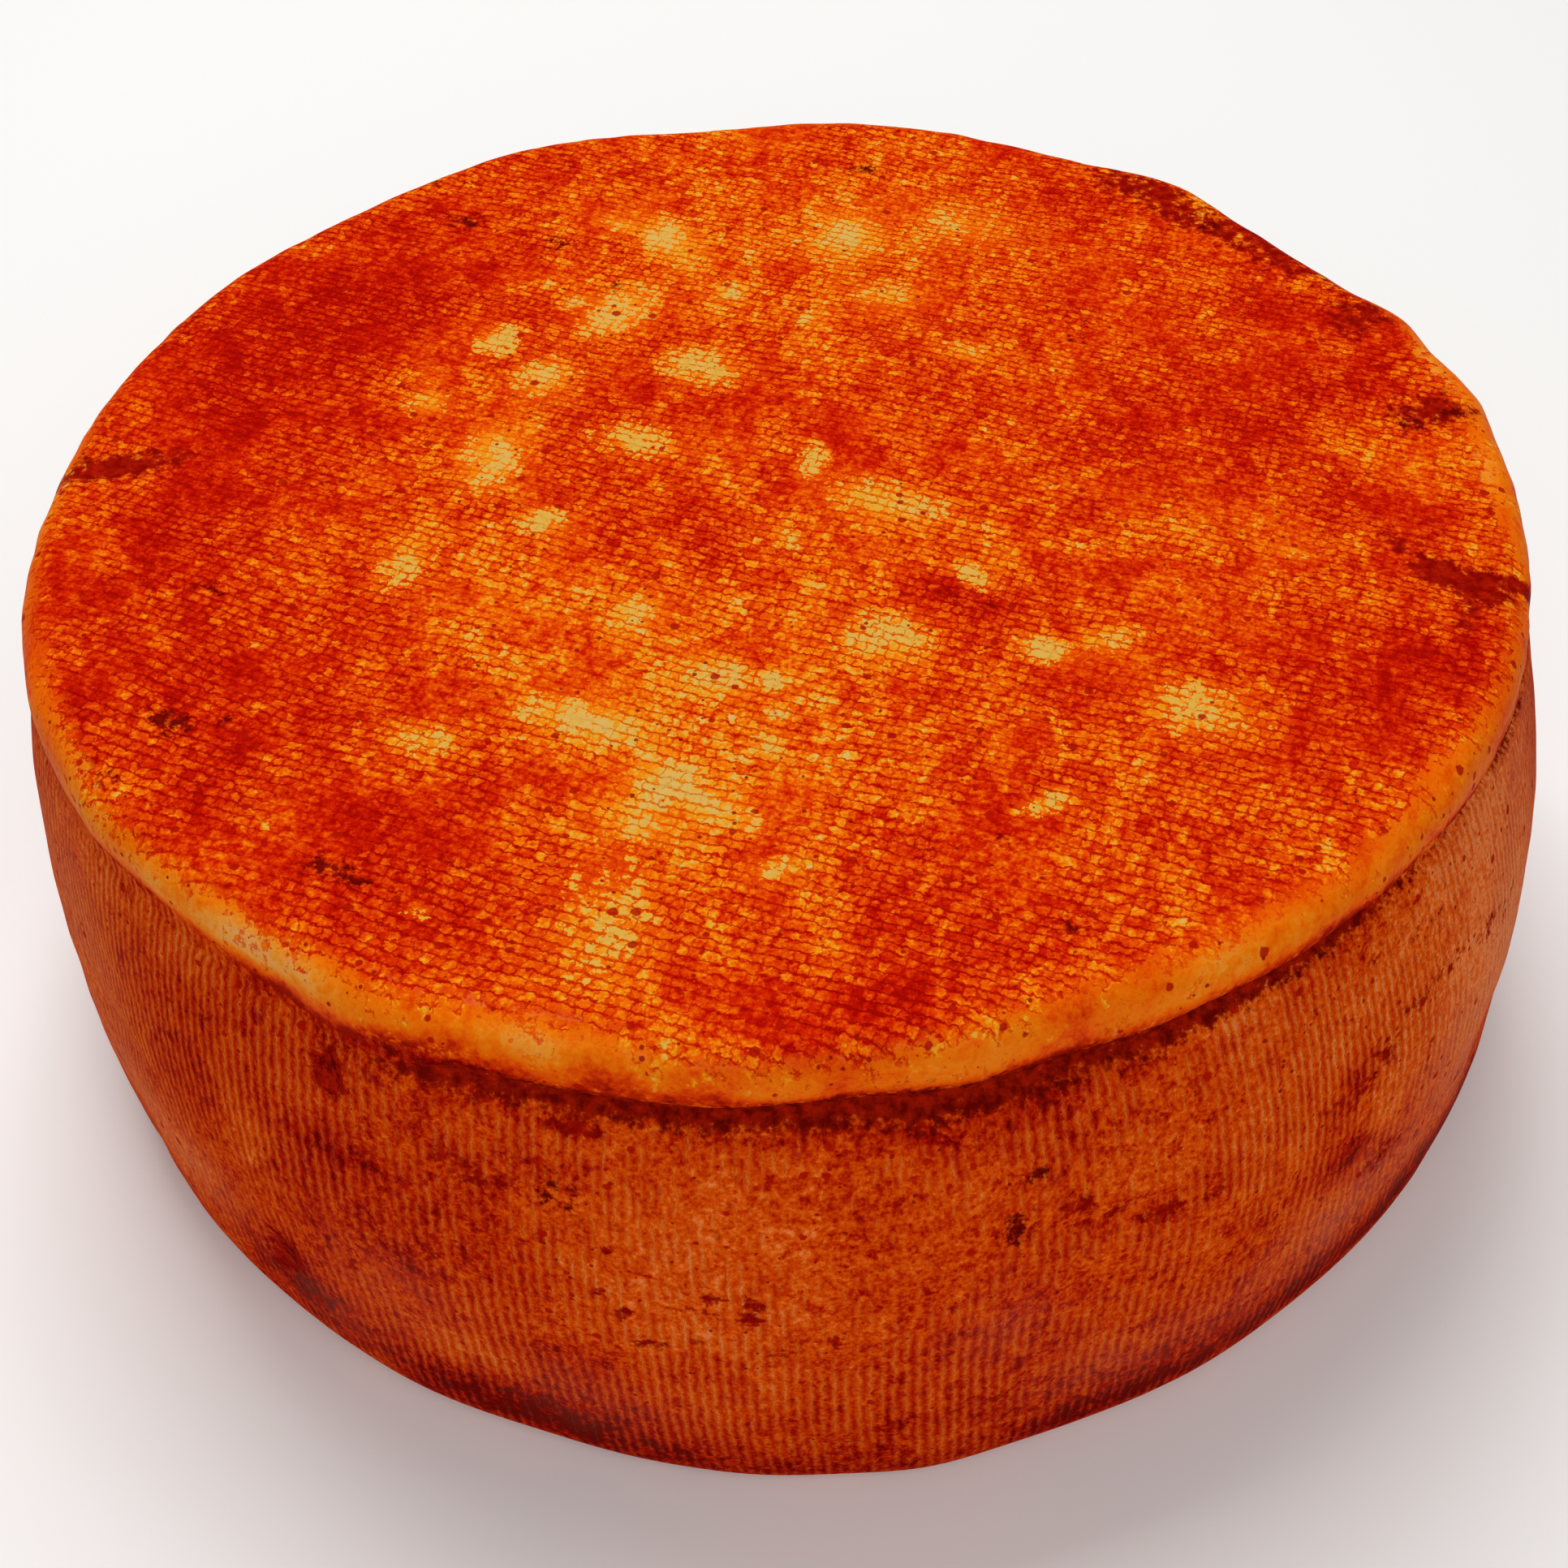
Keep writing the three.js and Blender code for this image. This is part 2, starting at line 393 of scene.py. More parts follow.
# Mould and other dark specks on the top.
MOULD = marks_of(
    Patch,
    (-52.8, -32.1, 1.7, 1.3, 1), (-51.6, -33, 0.9, 1.2, 0.8), (-47.5, -32, 1.3, 0.8, 0.45),
    (-56, -38.8, 1.2, 0.9, 0.7), (-36.5, -49.3, 1.8, 1.2, 1), (-34.6, -50.4, 1.6, 0.8, 0.9),
    (-26, -49, 1.5, 0.9, 0.35), (9.5, 58.2, 1.3, 1.3, 0.9), (-34.5, 47.2, 1.9, 1.2, 0.7),
    (-38, 55.5, 1.2, 1, 0.6), (-24, 43, 1.4, 1.2, 0.5), (-17.5, 34.5, 1.2, 0.8, 0.4),
    (-51.5, -15, 1.6, 0.8, 0.4), (30, 25, 0.9, 0.9, 0.55), (22.8, -56.2, 1.1, 0.8, 0.6),
    (18.2, -46.5, 1.1, 0.7, 0.4), (46.5, 46, 1.6, 1.1, 0.6), (66.5, 12, 1.5, 1, 0.8),
    (61, 11, 1.6, 1.2, 0.7),
)

# Maroon folds and dents on the top.
FOLDS = marks_of(
    Patch,
    (63.4, -14, 2.9, 2.5, 1.25), (60, -11.8, 2.6, 2, 1.15), (67.5, -12.9, 2.8, 0.8, 1.1, -10),
    (61.5, -18, 3.2, 1.3, 0.5, 60), (57, -8, 1.4, 4, 0.5, 20), (64, 12.5, 4, 2.6, 0.75, 10),
    (50, 44, 16, 3.4, 0.75, -44), (40, 54, 7, 3, 0.7, -32), (60, 29, 3.4, 5, 0.55, 0),
    (-64.5, 3.8, 5.6, 1.7, 1.3, 9), (-58.5, 4.9, 3.2, 1, 0.8, 16), (-62.6, 3.7, 1.1, 1.1, 1),
    (-64, 26, 4, 9, 0.25, -20), (17, -16.4, 3, 1.6, 0.4, -20),
)

# Pale salmon spots on the lip and the top.
PALE_TOP = marks_of(
    Patch,
    (-41, -57.6, 11, 2.4, 1, -36), (-51, -49.5, 6, 1.8, 0.6, -46), (40, -55.4, 6.5, 1.6, 0.45, 36),
    (50, -47, 5.5, 1.4, 0.4, 44), (-20, -66.5, 5, 1.4, 0.5, -14), (62.5, 5.5, 3.4, 2.2, 0.55, -10),
    (66.8, 1.5, 1.4, 5, 0.7, 0), (65.2, 20, 1.6, 6, 0.9, 12), (56, 6.5, 5, 3.6, 0.45),
    (-67, -4.5, 1.4, 5, 0.35, 0), (-58.5, -37, 1.6, 8, 0.6, 32),
)

# Broad ground on the side, with the same signs as on the top.
SIDE_GROUND = marks_of(
    SidePatch,
    (-93, 39, 12, 11, 0.19), (-90, 22, 14, 9, 0.08), (-66, 39.5, 8, 5, 0.14), (-56, 35, 5, 5, 0.10),
    (-83, 34, 7, 10, -0.05), (-50, 43, 12, 5, 0.20), (-45, 31, 2.6, 5, 0.26), (-52, 23, 6, 3.4, 0.14),
    (-29, 36, 16, 14, 0.36), (-152, 34, 16, 13, 0.18), (-142, 19, 14, 5, 0.20),
    (-114, 17, 4, 2.2, 0.22), (-109, 15.5, 4, 2, 0.14), (-129, 33, 3, 5, 0.22), (-100, 8.5, 7, 3, 0.06),
    (-59, 50.4, 4, 0.9, 0.25), (-101, 28, 5, 4, 0.10), (-114, 36, 12, 10, -0.10),
    (-130, 40, 12, 9, -0.08), (-122, 22, 9, 8, -0.08), (-104, 20, 6, 6, -0.12),
    (-48.7, 27.5, 2.6, 3.5, -0.34), (-49, 37, 2.6, 3, -0.26), (-45, 22.5, 3.4, 1.6, -0.24),
    (-66, 35.6, 7, 2.4, -0.12), (-79, 48, 6, 1.6, -0.10), (-33, 49.5, 17, 3.6, 0.26),
    (-142, 49.5, 14, 3, 0.14), (-132, 45, 6, 3, -0.10), (-104, 37, 5, 4, 0.08), (-78, 9, 6, 4, 0.14),
    (-121, 38, 6, 1.4, -0.20), (-84, 15, 14, 5, -0.04), (-109, 8, 14, 5, -0.52),
    (-52, 8.2, 22, 4.2, -0.42), (-68, 6.6, 12, 3, -0.28), (-127, 13, 6, 6, -0.34),
    (-90, 5, 12, 3, -0.22), (-32, 13.5, 9, 3.6, -0.34), (-60, 12.5, 14, 2.6, -0.12),
    (-76, 13, 5, 2.6, -0.10), (-97, 9, 6, 3, -0.10), (-39, 10.5, 9, 3, -0.14), (-29, 33, 8, 8, 0.06),
    (-68, 9, 14, 3, 0.06), (-56, 5.5, 12, 2.4, 0.08), (-63, 30, 5, 7, 0.04),
)

# A thin pale bloom that dulls the rub, with painted sheen: the strongest patches, towards the left and
# right of the side, paint the pale sheen that the side catches towards its edges. Each patch's strength
# is its share of the colour.
SIDE_BLOOM_AND_SHEEN = marks_of(
    SidePatch,
    (-153, 38, 12, 14, 0.12), (-148, 20, 14, 6, 0.12), (-138, 19, 6, 5, 0.06), (-22, 38, 14, 16, 0.14),
    (-34, 27, 9, 8, 0.16), (-26, 31, 6, 7, 0.08), (-48, 18.5, 8, 5, 0.11), (-38, 18, 8, 5, 0.07),
    (-58, 14, 10, 5, 0.05), (-69, 15, 7, 5, 0.04), (-76, 26, 5, 5, 0.03), (-104, 14, 8, 6, 0.035),
    (-118, 22, 7, 7, 0.04), (-125, 12, 6, 5, 0.05),
)

# Mould and other dark specks on the side and in the seam.
SIDE_MOULD = marks_of(
    SidePatch,
    (-73.9, 43.2, 1, 0.7, 0.85), (-120.3, 47.6, 0.8, 1.5, 0.6), (-75.3, 38, 1.3, 1.5, 0.95),
    (-104.6, 42, 0.5, 2.4, 0.8), (-103.6, 41.6, 0.4, 2.2, 0.8), (-105.6, 41.4, 0.4, 1.6, 0.6),
    (-86.5, 40.7, 0.5, 0.5, 0.5), (-88.5, 51.1, 1.6, 0.35, 0.55), (-65.5, 50.7, 2.8, 0.8, 0.9),
    (-60.6, 51.9, 1.3, 0.6, 0.8), (-52.5, 51.7, 0.8, 0.5, 0.6), (-44.8, 52.6, 1.2, 0.5, 0.65),
    (-94, 41, 0.5, 0.5, 0.4), (-127.2, 17.4, 1.1, 1.5, 0.9), (-128.4, 14.6, 0.6, 1.4, 0.7),
)

# Maroon folds and dents on the side.
SIDE_FOLDS = marks_of(
    SidePatch,
    (-71.5, 38.8, 2.4, 0.7, 0.6), (-68.5, 36.6, 3.2, 0.9, 0.6), (-65, 34.8, 3, 0.9, 0.6),
    (-62, 34.6, 2.2, 0.7, 0.5), (-56.5, 25.2, 2.4, 0.9, 0.45), (-44, 23.4, 2.6, 1, 0.6),
    (-48.5, 36.3, 3, 1.2, 0.55), (-45.4, 38.4, 2.6, 1.1, 0.45), (-42, 40.1, 2.6, 1, 0.42),
    (-37.6, 40.4, 2.8, 1.2, 0.5), (-32, 38.8, 3.4, 1.1, 0.48), (-27.2, 37.2, 2.6, 1.2, 0.48),
    (-40, 46.8, 4, 0.5, 0.4), (-45.6, 48.2, 1, 0.6, 0.5), (-120.2, 47.5, 1.5, 2.2, 1.6),
    (-127.4, 17.8, 1.8, 2.2, 1.5), (-128.8, 14.4, 1.1, 2.4, 1.2), (-103.5, 48.8, 3.2, 0.7, 0.8),
    (-110, 42, 3, 1.4, 0.7), (-112, 43.2, 1.2, 0.9, 0.8), (-94.8, 33, 0.8, 0.8, 1),
    (-92.2, 32.6, 0.7, 1, 1), (-92.3, 30.8, 0.9, 0.6, 0.9), (-101.5, 37.2, 0.9, 0.5, 0.9),
    (-101.8, 31.8, 0.7, 0.5, 0.9), (-100.6, 29.6, 0.5, 1.1, 0.8), (-96, 27.5, 0.5, 1.1, 0.8),
    (-99, 26, 1.3, 0.5, 0.8), (-87, 28, 0.5, 1.3, 0.9), (-115, 30, 7, 1.2, 0.30),
    (-112, 36, 6, 1, 0.26), (-60, 14.6, 8, 0.9, 0.35), (-76, 15.6, 6, 0.8, 0.35),
    (-96.5, 31.4, 2.6, 0.6, 0.35), (-91, 26.4, 2.4, 0.7, 0.30),
)

# Where the cloth's mark is strong or faint on the side.
SIDE_CLOTH = marks_of(
    SidePatch,
    (-135, 40, 22, 11, 0.5), (-52, 39, 9, 9, 0.5), (-88, 18, 18, 9, 0.45), (-112, 16, 9, 4, 0.4),
    (-110, 44, 8, 6, 0.2), (-89, 40, 13, 9, -0.55), (-142, 19, 12, 6, -0.5), (-70, 30, 6, 3, -0.35),
    (-64, 41, 6, 3, -0.35), (-60, 53, 8, 2, -0.5),
)


# --------------------------------------------------------------------------------------------------
# The wheel
# --------------------------------------------------------------------------------------------------


@dataclass
class WheelBody:
    """The solid wheel: its sizes, its shape and the marks on its rind. Lengths are in mm."""

    name: str = "rind"
    height: float = 58.0
    rim_radius: float = 70.0
    belly_radius: float = BELLY_RADIUS
    belly_height: float = 26.0
    base_radius: float = 67.2
    foot_squareness: float = 3.1
    lip_rounding: float = 3.4
    side_top: float = 52.0
    lean_x: float = 1.4
    lean_y: float = 0.45
    lean_fade: float = 1.5
    top_dish: float = 0.45
    segments: int = 512
    base_rings: int = 4
    foot_rings: int = 26
    side_rings: int = 34
    seam_rings: int = 14
    lip_rings: int = 14
    top_rings: int = 92
    # The half section's side ends here, and the rings of the seam start.
    seam_foot: float = 48.5
    # Shares of the height between which the foot's outline turns into the rim's.
    outline_blend: tuple[float, float] = (0.6, 0.95)
    # Heights and radii between which a mark or a finish gives way to the next one.
    top_edge: tuple[float, float] = (52.0, 56.0)
    side_edge: tuple[float, float] = (52.5, 55.5)
    base_edge: tuple[float, float] = (64.0, 68.0)
    lip_foot_blend: float = 0.35
    lip_head_blend: tuple[float, float] = (2.4, 1.8)
    # The side can be pressed in above this height and outside this radius.
    press_floor: float = 1.0
    press_inside: float = 60.0

    side_lumps: tuple[Lumps, ...] = (Lumps(11, 0.22, 3), Lumps(4, 0.10, 9))
    top_lumps: tuple[Lumps, ...] = (Lumps(8, 0.10, 30), Lumps(3, 0.05, 40))
    lip_lumps: Lumps = Lumps(3, 0.16, 21)
    rim_lobes: tuple[Lobe, ...] = (
        Lobe(-153, 1.45, 22), Lobe(-116, 1.2, 7), Lobe(-85, -0.7, 5), Lobe(-69, -1.65, 10),
        Lobe(-43, -0.85, 20), Lobe(13, 0.5, 3), Lobe(16, 1.35, 16), Lobe(25, 1.1, 3.5),
        Lobe(33, -0.95, 11), Lobe(52, 1.6, 6), Lobe(80, 0.45, 9), Lobe(85, 0.8, 88), Lobe(97, -1.25, 8),
        Lobe(115, 0.5, 4), Lobe(134, -1.0, 10.5), Lobe(160, -0.5, 21),
    )
    foot_lobes: tuple[Lobe, ...] = (
        Lobe(-147, -0.35, 4), Lobe(-130, -0.2, 7), Lobe(-109, -0.4, 6), Lobe(-92, 0.3, 6),
        Lobe(-81, 0.5, 5), Lobe(-68, -0.5, 10), Lobe(-51, -0.45, 8), Lobe(-31, 0.3, 6),
        Lobe(20, -0.6, 14), Lobe(60, 0.5, 12), Lobe(105, -0.7, 15), Lobe(150, 0.6, 14),
    )
    # Round the wheel, by bearing: the height of the seam's middle, its half height, how deep it is
    # pressed in and how dark it is.
    seam_line: Line = (
        (-150, 51.4), (-127, 50.9), (-120, 50.7), (-115, 50.8), (-110, 51.6), (-105, 51.0), (-95, 51.0),
        (-90, 51.1), (-85, 50.9), (-75, 50.8), (-70, 50.9), (-65, 50.7), (-60, 52.1), (-55, 52.3),
        (-45, 52.7), (-40, 52.3), (-30, 52.2), (-25, 51.5), (-20, 50.6), (-15, 50.3), (20, 51.5),
        (120, 51.5), (170, 51.5),
    )
    seam_half_height: Line = (
        (-150, 0.5), (-120, 0.5), (-115, 0.8), (-110, 1.5), (-105, 1.1), (-95, 1.1), (-85, 1.35),
        (-75, 1.4), (-70, 1.2), (-65, 1.2), (-60, 1.05), (-50, 0.9), (-45, 0.9), (-40, 0.6), (-30, 0.4),
        (-20, 0.5), (-12, 0.4), (60, 1.0), (130, 1.0),
    )
    seam_depth: Line = (
        (-150, 0.15), (-132, 0.2), (-125, 0.25), (-118, 0.35), (-110, 0.65), (-100, 1.1), (-75, 1.3),
        (-66, 1.2), (-58, 0.9), (-46, 0.8), (-38, 0.5), (-30, 0.4), (-22, 0.7), (-15, 0.4), (-8, 0.2),
        (60, 0.2), (80, 0.6), (100, 0.6), (125, 0.2),
    )
    seam_stain: Line = (
        (-150, 0), (-132, 0.1), (-126, 0.1), (-121, 0.16), (-117, 0.42), (-112, 0.9), (-100, 1.1),
        (-74, 1.1), (-70, 0.9), (-66, 1.15), (-60, 1.1), (-52, 1.05), (-45, 1.05), (-41, 0.6),
        (-36, 0.3), (-30, 0.35), (-25, 0.6), (-20, 0.9), (-15, 0.6), (-10, 0.2), (-6, 0), (60, 0),
        (80, 0.5), (100, 0.5), (120, 0),
    )
    # Round the wheel, by bearing: how much of the rub has gathered just above and below the seam.
    rub_above: Line = (
        (-140, 0), (-130, 0.15), (-122, 0.15), (-117, 0.5), (-111, 1.45), (-106, 0.3), (-102, 0),
    )
    rub_below: Line = (
        (-114, 0), (-107, 0.5), (-101, 0.15), (-93, 0.35), (-86, 0.8), (-80, 0.5), (-74, 0.9),
        (-69, 0.45), (-63, 0.25), (-58, 0),
    )
    # Round the wheel, by bearing: where the smooth lip starts, measured up along the section, how far
    # up from there it stays red, and where it ends.
    lip_foot: Line = (
        (-178, 53.6), (-165, 53.4), (-155, 52.4), (-150, 52.2), (-145, 52.5), (-140, 52.7),
        (-135, 53.3), (-130, 53.1), (-126, 52.4), (-121, 51.6), (-118.5, 52.2), (-116.5, 54.0),
        (-114, 54.2), (-110, 54.4), (-107, 53.1), (-105, 52.4), (-95, 52.2), (-90, 52.4), (-80, 52.3),
        (-65, 52.2), (-60, 53.4), (-55, 53.8), (-45, 53.7), (-40, 53.4), (-35, 53.3), (-30, 52.6),
        (-25, 52.2), (-20, 51.5), (-15, 50.7), (0, 50.6), (14, 51.0), (34, 52.5), (60, 53.0),
        (90, 52.0), (120, 53.0), (150, 53.6),
    )
    lip_fade: Line = (
        (-178, 1.2), (-155, 0.8), (-135, 1.2), (-130, 1.5), (-126, 2.4), (-120, 3.4), (-116, 1.6),
        (-110, 3.0), (-106, 4.8), (-100, 5.0), (-95, 4.2), (-91, 1.4), (-88, 1.2), (-75, 1.8),
        (-60, 1.8), (-55, 2.2), (-45, 1.8), (-35, 1.0), (-20, 0.6), (-10, 0.6), (34, 1.5), (150, 1.5),
    )
    lip_head: Line = (
        (-178, 58.4), (-170, 57.4), (-165, 57.6), (-159, 58.8), (-150, 58.2), (-140, 56.8),
        (-130, 57.5), (-125, 57.6), (-120, 58.5), (-110, 59.0), (-100, 58.0), (-95, 56.8), (-85, 56.3),
        (-80, 57.5), (-75, 58.3), (-65, 58.5), (-60, 59.0), (-45, 58.8), (-35, 59.3), (-30, 59.2),
        (-25, 58.5), (-20, 58.2), (-12, 57.2), (-5, 59.2), (0, 59.8), (14, 60.0), (24, 59.0),
        (34, 58.0), (60, 57.0), (90, 59.0), (120, 57.0), (150, 57.0),
    )
    edge_folds: tuple[EdgeFold, ...] = (EdgeFold(176.8, 0.8, 2.2, 16), EdgeFold(-12, 0.9, 2.6, 15))
    dents: tuple[Dent, ...] = (
        Dent(-145, 29, 0.5, 4, 3), Dent(-27, 19, 0.6, 4, 3), Dent(75, 30, 0.6, 8, 4),
        Dent(-128, 16, 0.5, 1.6, 4), Dent(-67, 36, 0.35, 5, 1.4), Dent(-47, 26, 0.35, 3, 2.4),
        Dent(-120.3, 48, 0.25, 1.4, 2.4), Dent(-75.3, 38, 0.2, 1.0, 1.2),
    )
    waves: tuple[Wave, ...] = (Wave(35, 96, 0.28, 0.6), Wave(-62, 71, 0.2, 2.1))

    def side_radius(self, z: float) -> float:
        """Gives the radius of the side at one height, from the belly up to the seam."""
        up = (min(z, self.side_top) - self.belly_height) / (self.side_top - self.belly_height)
        return self.belly_radius - (self.belly_radius - self.rim_radius) * up * up

    def half_section(self) -> list[tuple[float, float]]:
        """Lists radius and height from the middle of the base up to the middle of the top.

        Returns:
            The corners of the open line that is spun into the wheel.
        """
        section = [(self.base_radius * ring / self.base_rings, 0.0) for ring in range(self.base_rings)]
        bulge = self.belly_radius - self.base_radius
        for ring in range(self.foot_rings + 1):
            drop = math.cos(ring / self.foot_rings * math.pi / 2)
            out = (1 - drop ** self.foot_squareness) ** (1 / self.foot_squareness)
            section.append((self.base_radius + bulge * out, self.belly_height * (1 - drop)))
        for ring in range(1, self.side_rings + 1):
            z = self.belly_height + (self.seam_foot - self.belly_height) * ring / self.side_rings
            section.append((self.side_radius(z), z))
        lip_foot = self.height - self.lip_rounding
        for ring in range(1, self.seam_rings):
            z = self.seam_foot + (lip_foot - self.seam_foot) * ring / self.seam_rings
            section.append((self.side_radius(z), z))
        for ring in range(self.lip_rings + 1):
            angle = math.pi / 2 * ring / self.lip_rings
            radius = self.rim_radius - self.lip_rounding * (1 - math.cos(angle))
            section.append((radius, lip_foot + self.lip_rounding * math.sin(angle)))
        edge = self.rim_radius - self.lip_rounding
        for ring in range(1, self.top_rings + 1):
            section.append((edge * (1 - ring / self.top_rings), self.height))
        return section

    def outline(self, lobes: tuple[Lobe, ...], bearing: Array) -> Array:
        """Sums the lobes of an outline at each bearing."""
        return sum(lobe.height * hump(turn(lobe.bearing, bearing), lobe.half_width) for lobe in lobes)

    def climb(self, round_places: Array) -> Array:
        """Gives how far up the section's line each place lies.

        Args:
            round_places: places on the true round wheel.

        Returns:
            The height up to the lip, and from there on the way over the lip and across the top.
        """
        radius = np.hypot(round_places[:, 0], round_places[:, 1])
        z = round_places[:, 2]
        foot = self.height - self.lip_rounding
        edge = self.rim_radius - self.lip_rounding
        turned = np.arcsin(np.clip((z - foot) / self.lip_rounding, 0, 1))
        over = foot + self.lip_rounding * math.pi / 2 + edge - radius
        return np.where(z < foot, z, np.where(radius > edge, foot + self.lip_rounding * turned, over))

    def top_lift(self, x: Array, y: Array, radius: Array, bearing: Array) -> Array:
        """Gives how far the top lies above or below its mean plane."""
        inner = 1 - (radius / self.rim_radius) ** 2
        lift = -self.top_dish * inner
        for wave in self.waves:
            heading = math.radians(wave.bearing)
            along = x * math.cos(heading) + y * math.sin(heading)
            lift += wave.rise * inner * np.sin(2 * math.pi * along / wave.length + wave.phase)
        for fold in self.edge_folds:
            inward = ease(radius, self.rim_radius - fold.reach, self.rim_radius)
            lift -= fold.depth * inward * hump(turn(fold.bearing, bearing), fold.half_width)
        return lift

    def side_press(self, bearing: Array, z: Array) -> Array:
        """Gives how far the side is pressed in."""
        rise = z - follow(self.seam_line, bearing)
        half_height = 0.85 * follow(self.seam_half_height, bearing)
        press = follow(self.seam_depth, bearing) * hump(rise, half_height)
        for dent in self.dents:
            across = hump(turn(dent.bearing, bearing), dent.half_width)
            press += dent.depth * across * hump(z - dent.z, dent.half_height)
        return press

    def uneven(self, places: Array) -> Array:
        """Moves the vertices of the true round wheel to their places on the uneven one.

        Args:
            places: the round wheel's vertices in mm, one row each.

        Returns:
            Their new places.
        """
        x, y, z = places.T
        radius = np.hypot(x, y)
        bearing = np.degrees(np.arctan2(y, x))
        level = np.clip(z / self.height, 0, 1)
        rim_share = ease(level, *self.outline_blend)
        edge = ease(radius, 0, self.rim_radius)
        out = rim_share * self.outline(self.rim_lobes, bearing)
        out += (1 - rim_share) * self.outline(self.foot_lobes, bearing)
        pressed = (z > self.press_floor) * (radius > self.press_inside)
        grown = radius + out * edge - self.side_press(bearing, z) * pressed
        # The side's and the top's lumps go inwards only, so that the sizes hold. The lip's go both ways.
        wall = ease(radius, self.press_inside, 69) * ease(z, self.press_floor, 8)
        grown -= wall * sum(lumps.rise(places, 1) for lumps in self.side_lumps)
        lip = ease(z, 50, 55) * ease(radius, 62, 66)
        grown -= lip * self.lip_lumps.rise(places)
        scale = grown / np.maximum(radius, 1e-6)
        crown = ease(z, self.height - self.lip_rounding, self.height)
        lift = crown * self.top_lift(x, y, radius, bearing)
        lift -= crown * sum(lumps.rise(places, 1) for lumps in self.top_lumps)
        lean = 1 - np.minimum(1, level * self.height / self.side_top) ** self.lean_fade
        return np.stack([x * scale + self.lean_x * lean, y * scale + self.lean_y * lean, z + lift], 1)

    def marks(self, round_places: Array, places: Array) -> dict[Mark, Array]:
        """Works out the marks on the rind.

        Args:
            round_places: the vertices of the true round wheel.
            places: the same vertices on the uneven wheel, from the rim's axis.

        Returns:
            A value for each mark and vertex.
        """
        x, y = places[:, 0], places[:, 1]
        radius = np.hypot(x, y)
        z = round_places[:, 2]
        bearing = np.degrees(np.arctan2(round_places[:, 1], round_places[:, 0]))
        top = ease(z, *self.top_edge)
        side = (1 - ease(z, *self.side_edge)) * ease(radius, *self.base_edge)
        rise = z - follow(self.seam_line, bearing)
        seam = follow(self.seam_stain, bearing) * hump(rise, follow(self.seam_half_height, bearing))
        seam *= ease(radius, *self.base_edge)
        climb = self.climb(round_places)
        foot = follow(self.lip_foot, bearing)
        head = follow(self.lip_head, bearing)
        below, above = self.lip_head_blend
        lip = ease(climb, foot - self.lip_foot_blend, foot + self.lip_foot_blend)
        lip *= 1 - ease(climb, head - below, head + above)
        lip_foot = 1 - ease(climb, foot, foot + follow(self.lip_fade, bearing))
        depth = 0.5 - top * total(GROUND, x, y) - side * total(SIDE_GROUND, bearing, z)
        # The rub gathers on both sides of the seam, where the cloth's print is faint.
        depth += 0.32 * side * follow(self.rub_above, bearing) * hump(z - 52.8, 1.6)
        depth += 0.19 * side * follow(self.rub_below, bearing) * hump(rise + 1.7, 1.4)
        cloth = 0.5 + side * total(SIDE_CLOTH, bearing, z)
        cloth -= 0.9 * side * follow(self.seam_stain, bearing) * hump(rise - 0.6, 1.6)
        folds = strongest(FOLDS, x, y) * top
        mould = strongest(MOULD, x, y) * top
        return {
            Mark.RUB: strongest(RUBBED, x, y) * top,
            Mark.DEPTH: depth,
            Mark.LIP: lip,
            Mark.LIP_FOOT: lip_foot,
            Mark.PALE: strongest(PALE_TOP, x, y) * top,
            Mark.SEAM: seam,
            Mark.FOLD: np.maximum(folds, strongest(SIDE_FOLDS, bearing, z) * (1 - top)),
            Mark.MOULD: np.maximum(mould, strongest(SIDE_MOULD, bearing, z) * (1 - top)),
            Mark.CLOTH: cloth,
            Mark.SIDE: side,
            # The bloom mark also carries the painted sheen towards the side's edges.
            Mark.BLOOM: side * total(SIDE_BLOOM_AND_SHEEN, bearing, z),
        }

    def put_in_order(self, wheel: bmesh.types.BMesh) -> None:
        """Sorts the faces, which the spin hands over in another order on each run.

        Args:
            wheel: the spun mesh. Its vertices keep their order.
        """
        wheel.verts.index_update()
        count = len(wheel.verts)
        wheel.faces.sort(key=lambda face: face.verts[0].index * count + face.verts[2].index)
        wheel.faces.index_update()

    def build(self) -> bpy.types.Object:
        """Builds the wheel's mesh and writes its marks on it.

        Returns:
            The finished object, in metres, at its place in the frame.
        """
        mesh = bpy.data.meshes.new(self.name)
        wheel = bmesh.new()
        corners = [wheel.verts.new((radius, 0, z)) for radius, z in self.half_section()]
        line = [wheel.edges.new(pair) for pair in zip(corners, corners[1:])]
        bmesh.ops.spin(
            wheel, geom=corners + line, cent=(0, 0, 0), axis=(0, 0, 1), dvec=(0, 0, 0),
            angle=2 * math.pi, steps=self.segments, use_merge=True, use_duplicate=False,
        )
        bmesh.ops.remove_doubles(wheel, verts=wheel.verts[:], dist=0.002)
        bmesh.ops.recalc_face_normals(wheel, faces=wheel.faces[:])
        self.put_in_order(wheel)
        round_places = np.array([corner.co[:] for corner in wheel.verts])
        places = self.uneven(round_places)
        marks = self.marks(round_places, places)
        for corner, place in zip(wheel.verts, places):
            corner.co = place
        for face in wheel.faces:
            face.smooth = True
        shift = Vector((*RIM_AXIS, -float(places[:, 2].min())))
        bmesh.ops.translate(wheel, vec=shift, verts=wheel.verts[:])
        bmesh.ops.scale(wheel, vec=(MM, MM, MM), verts=wheel.verts[:])
        wheel.to_mesh(mesh)
        wheel.free()
        for mark, values in marks.items():
            mesh.attributes.new(mark.value, "FLOAT", "POINT").data.foreach_set("value", values)
        around = mesh.attributes.new(ROUND_PLACE, "FLOAT_VECTOR", "POINT")
        around.data.foreach_set("vector", round_places.ravel())
        rind = bpy.data.objects.new(self.name, mesh)
        bpy.context.scene.collection.objects.link(rind)
        return rind


# --------------------------------------------------------------------------------------------------
# Finishes
# --------------------------------------------------------------------------------------------------


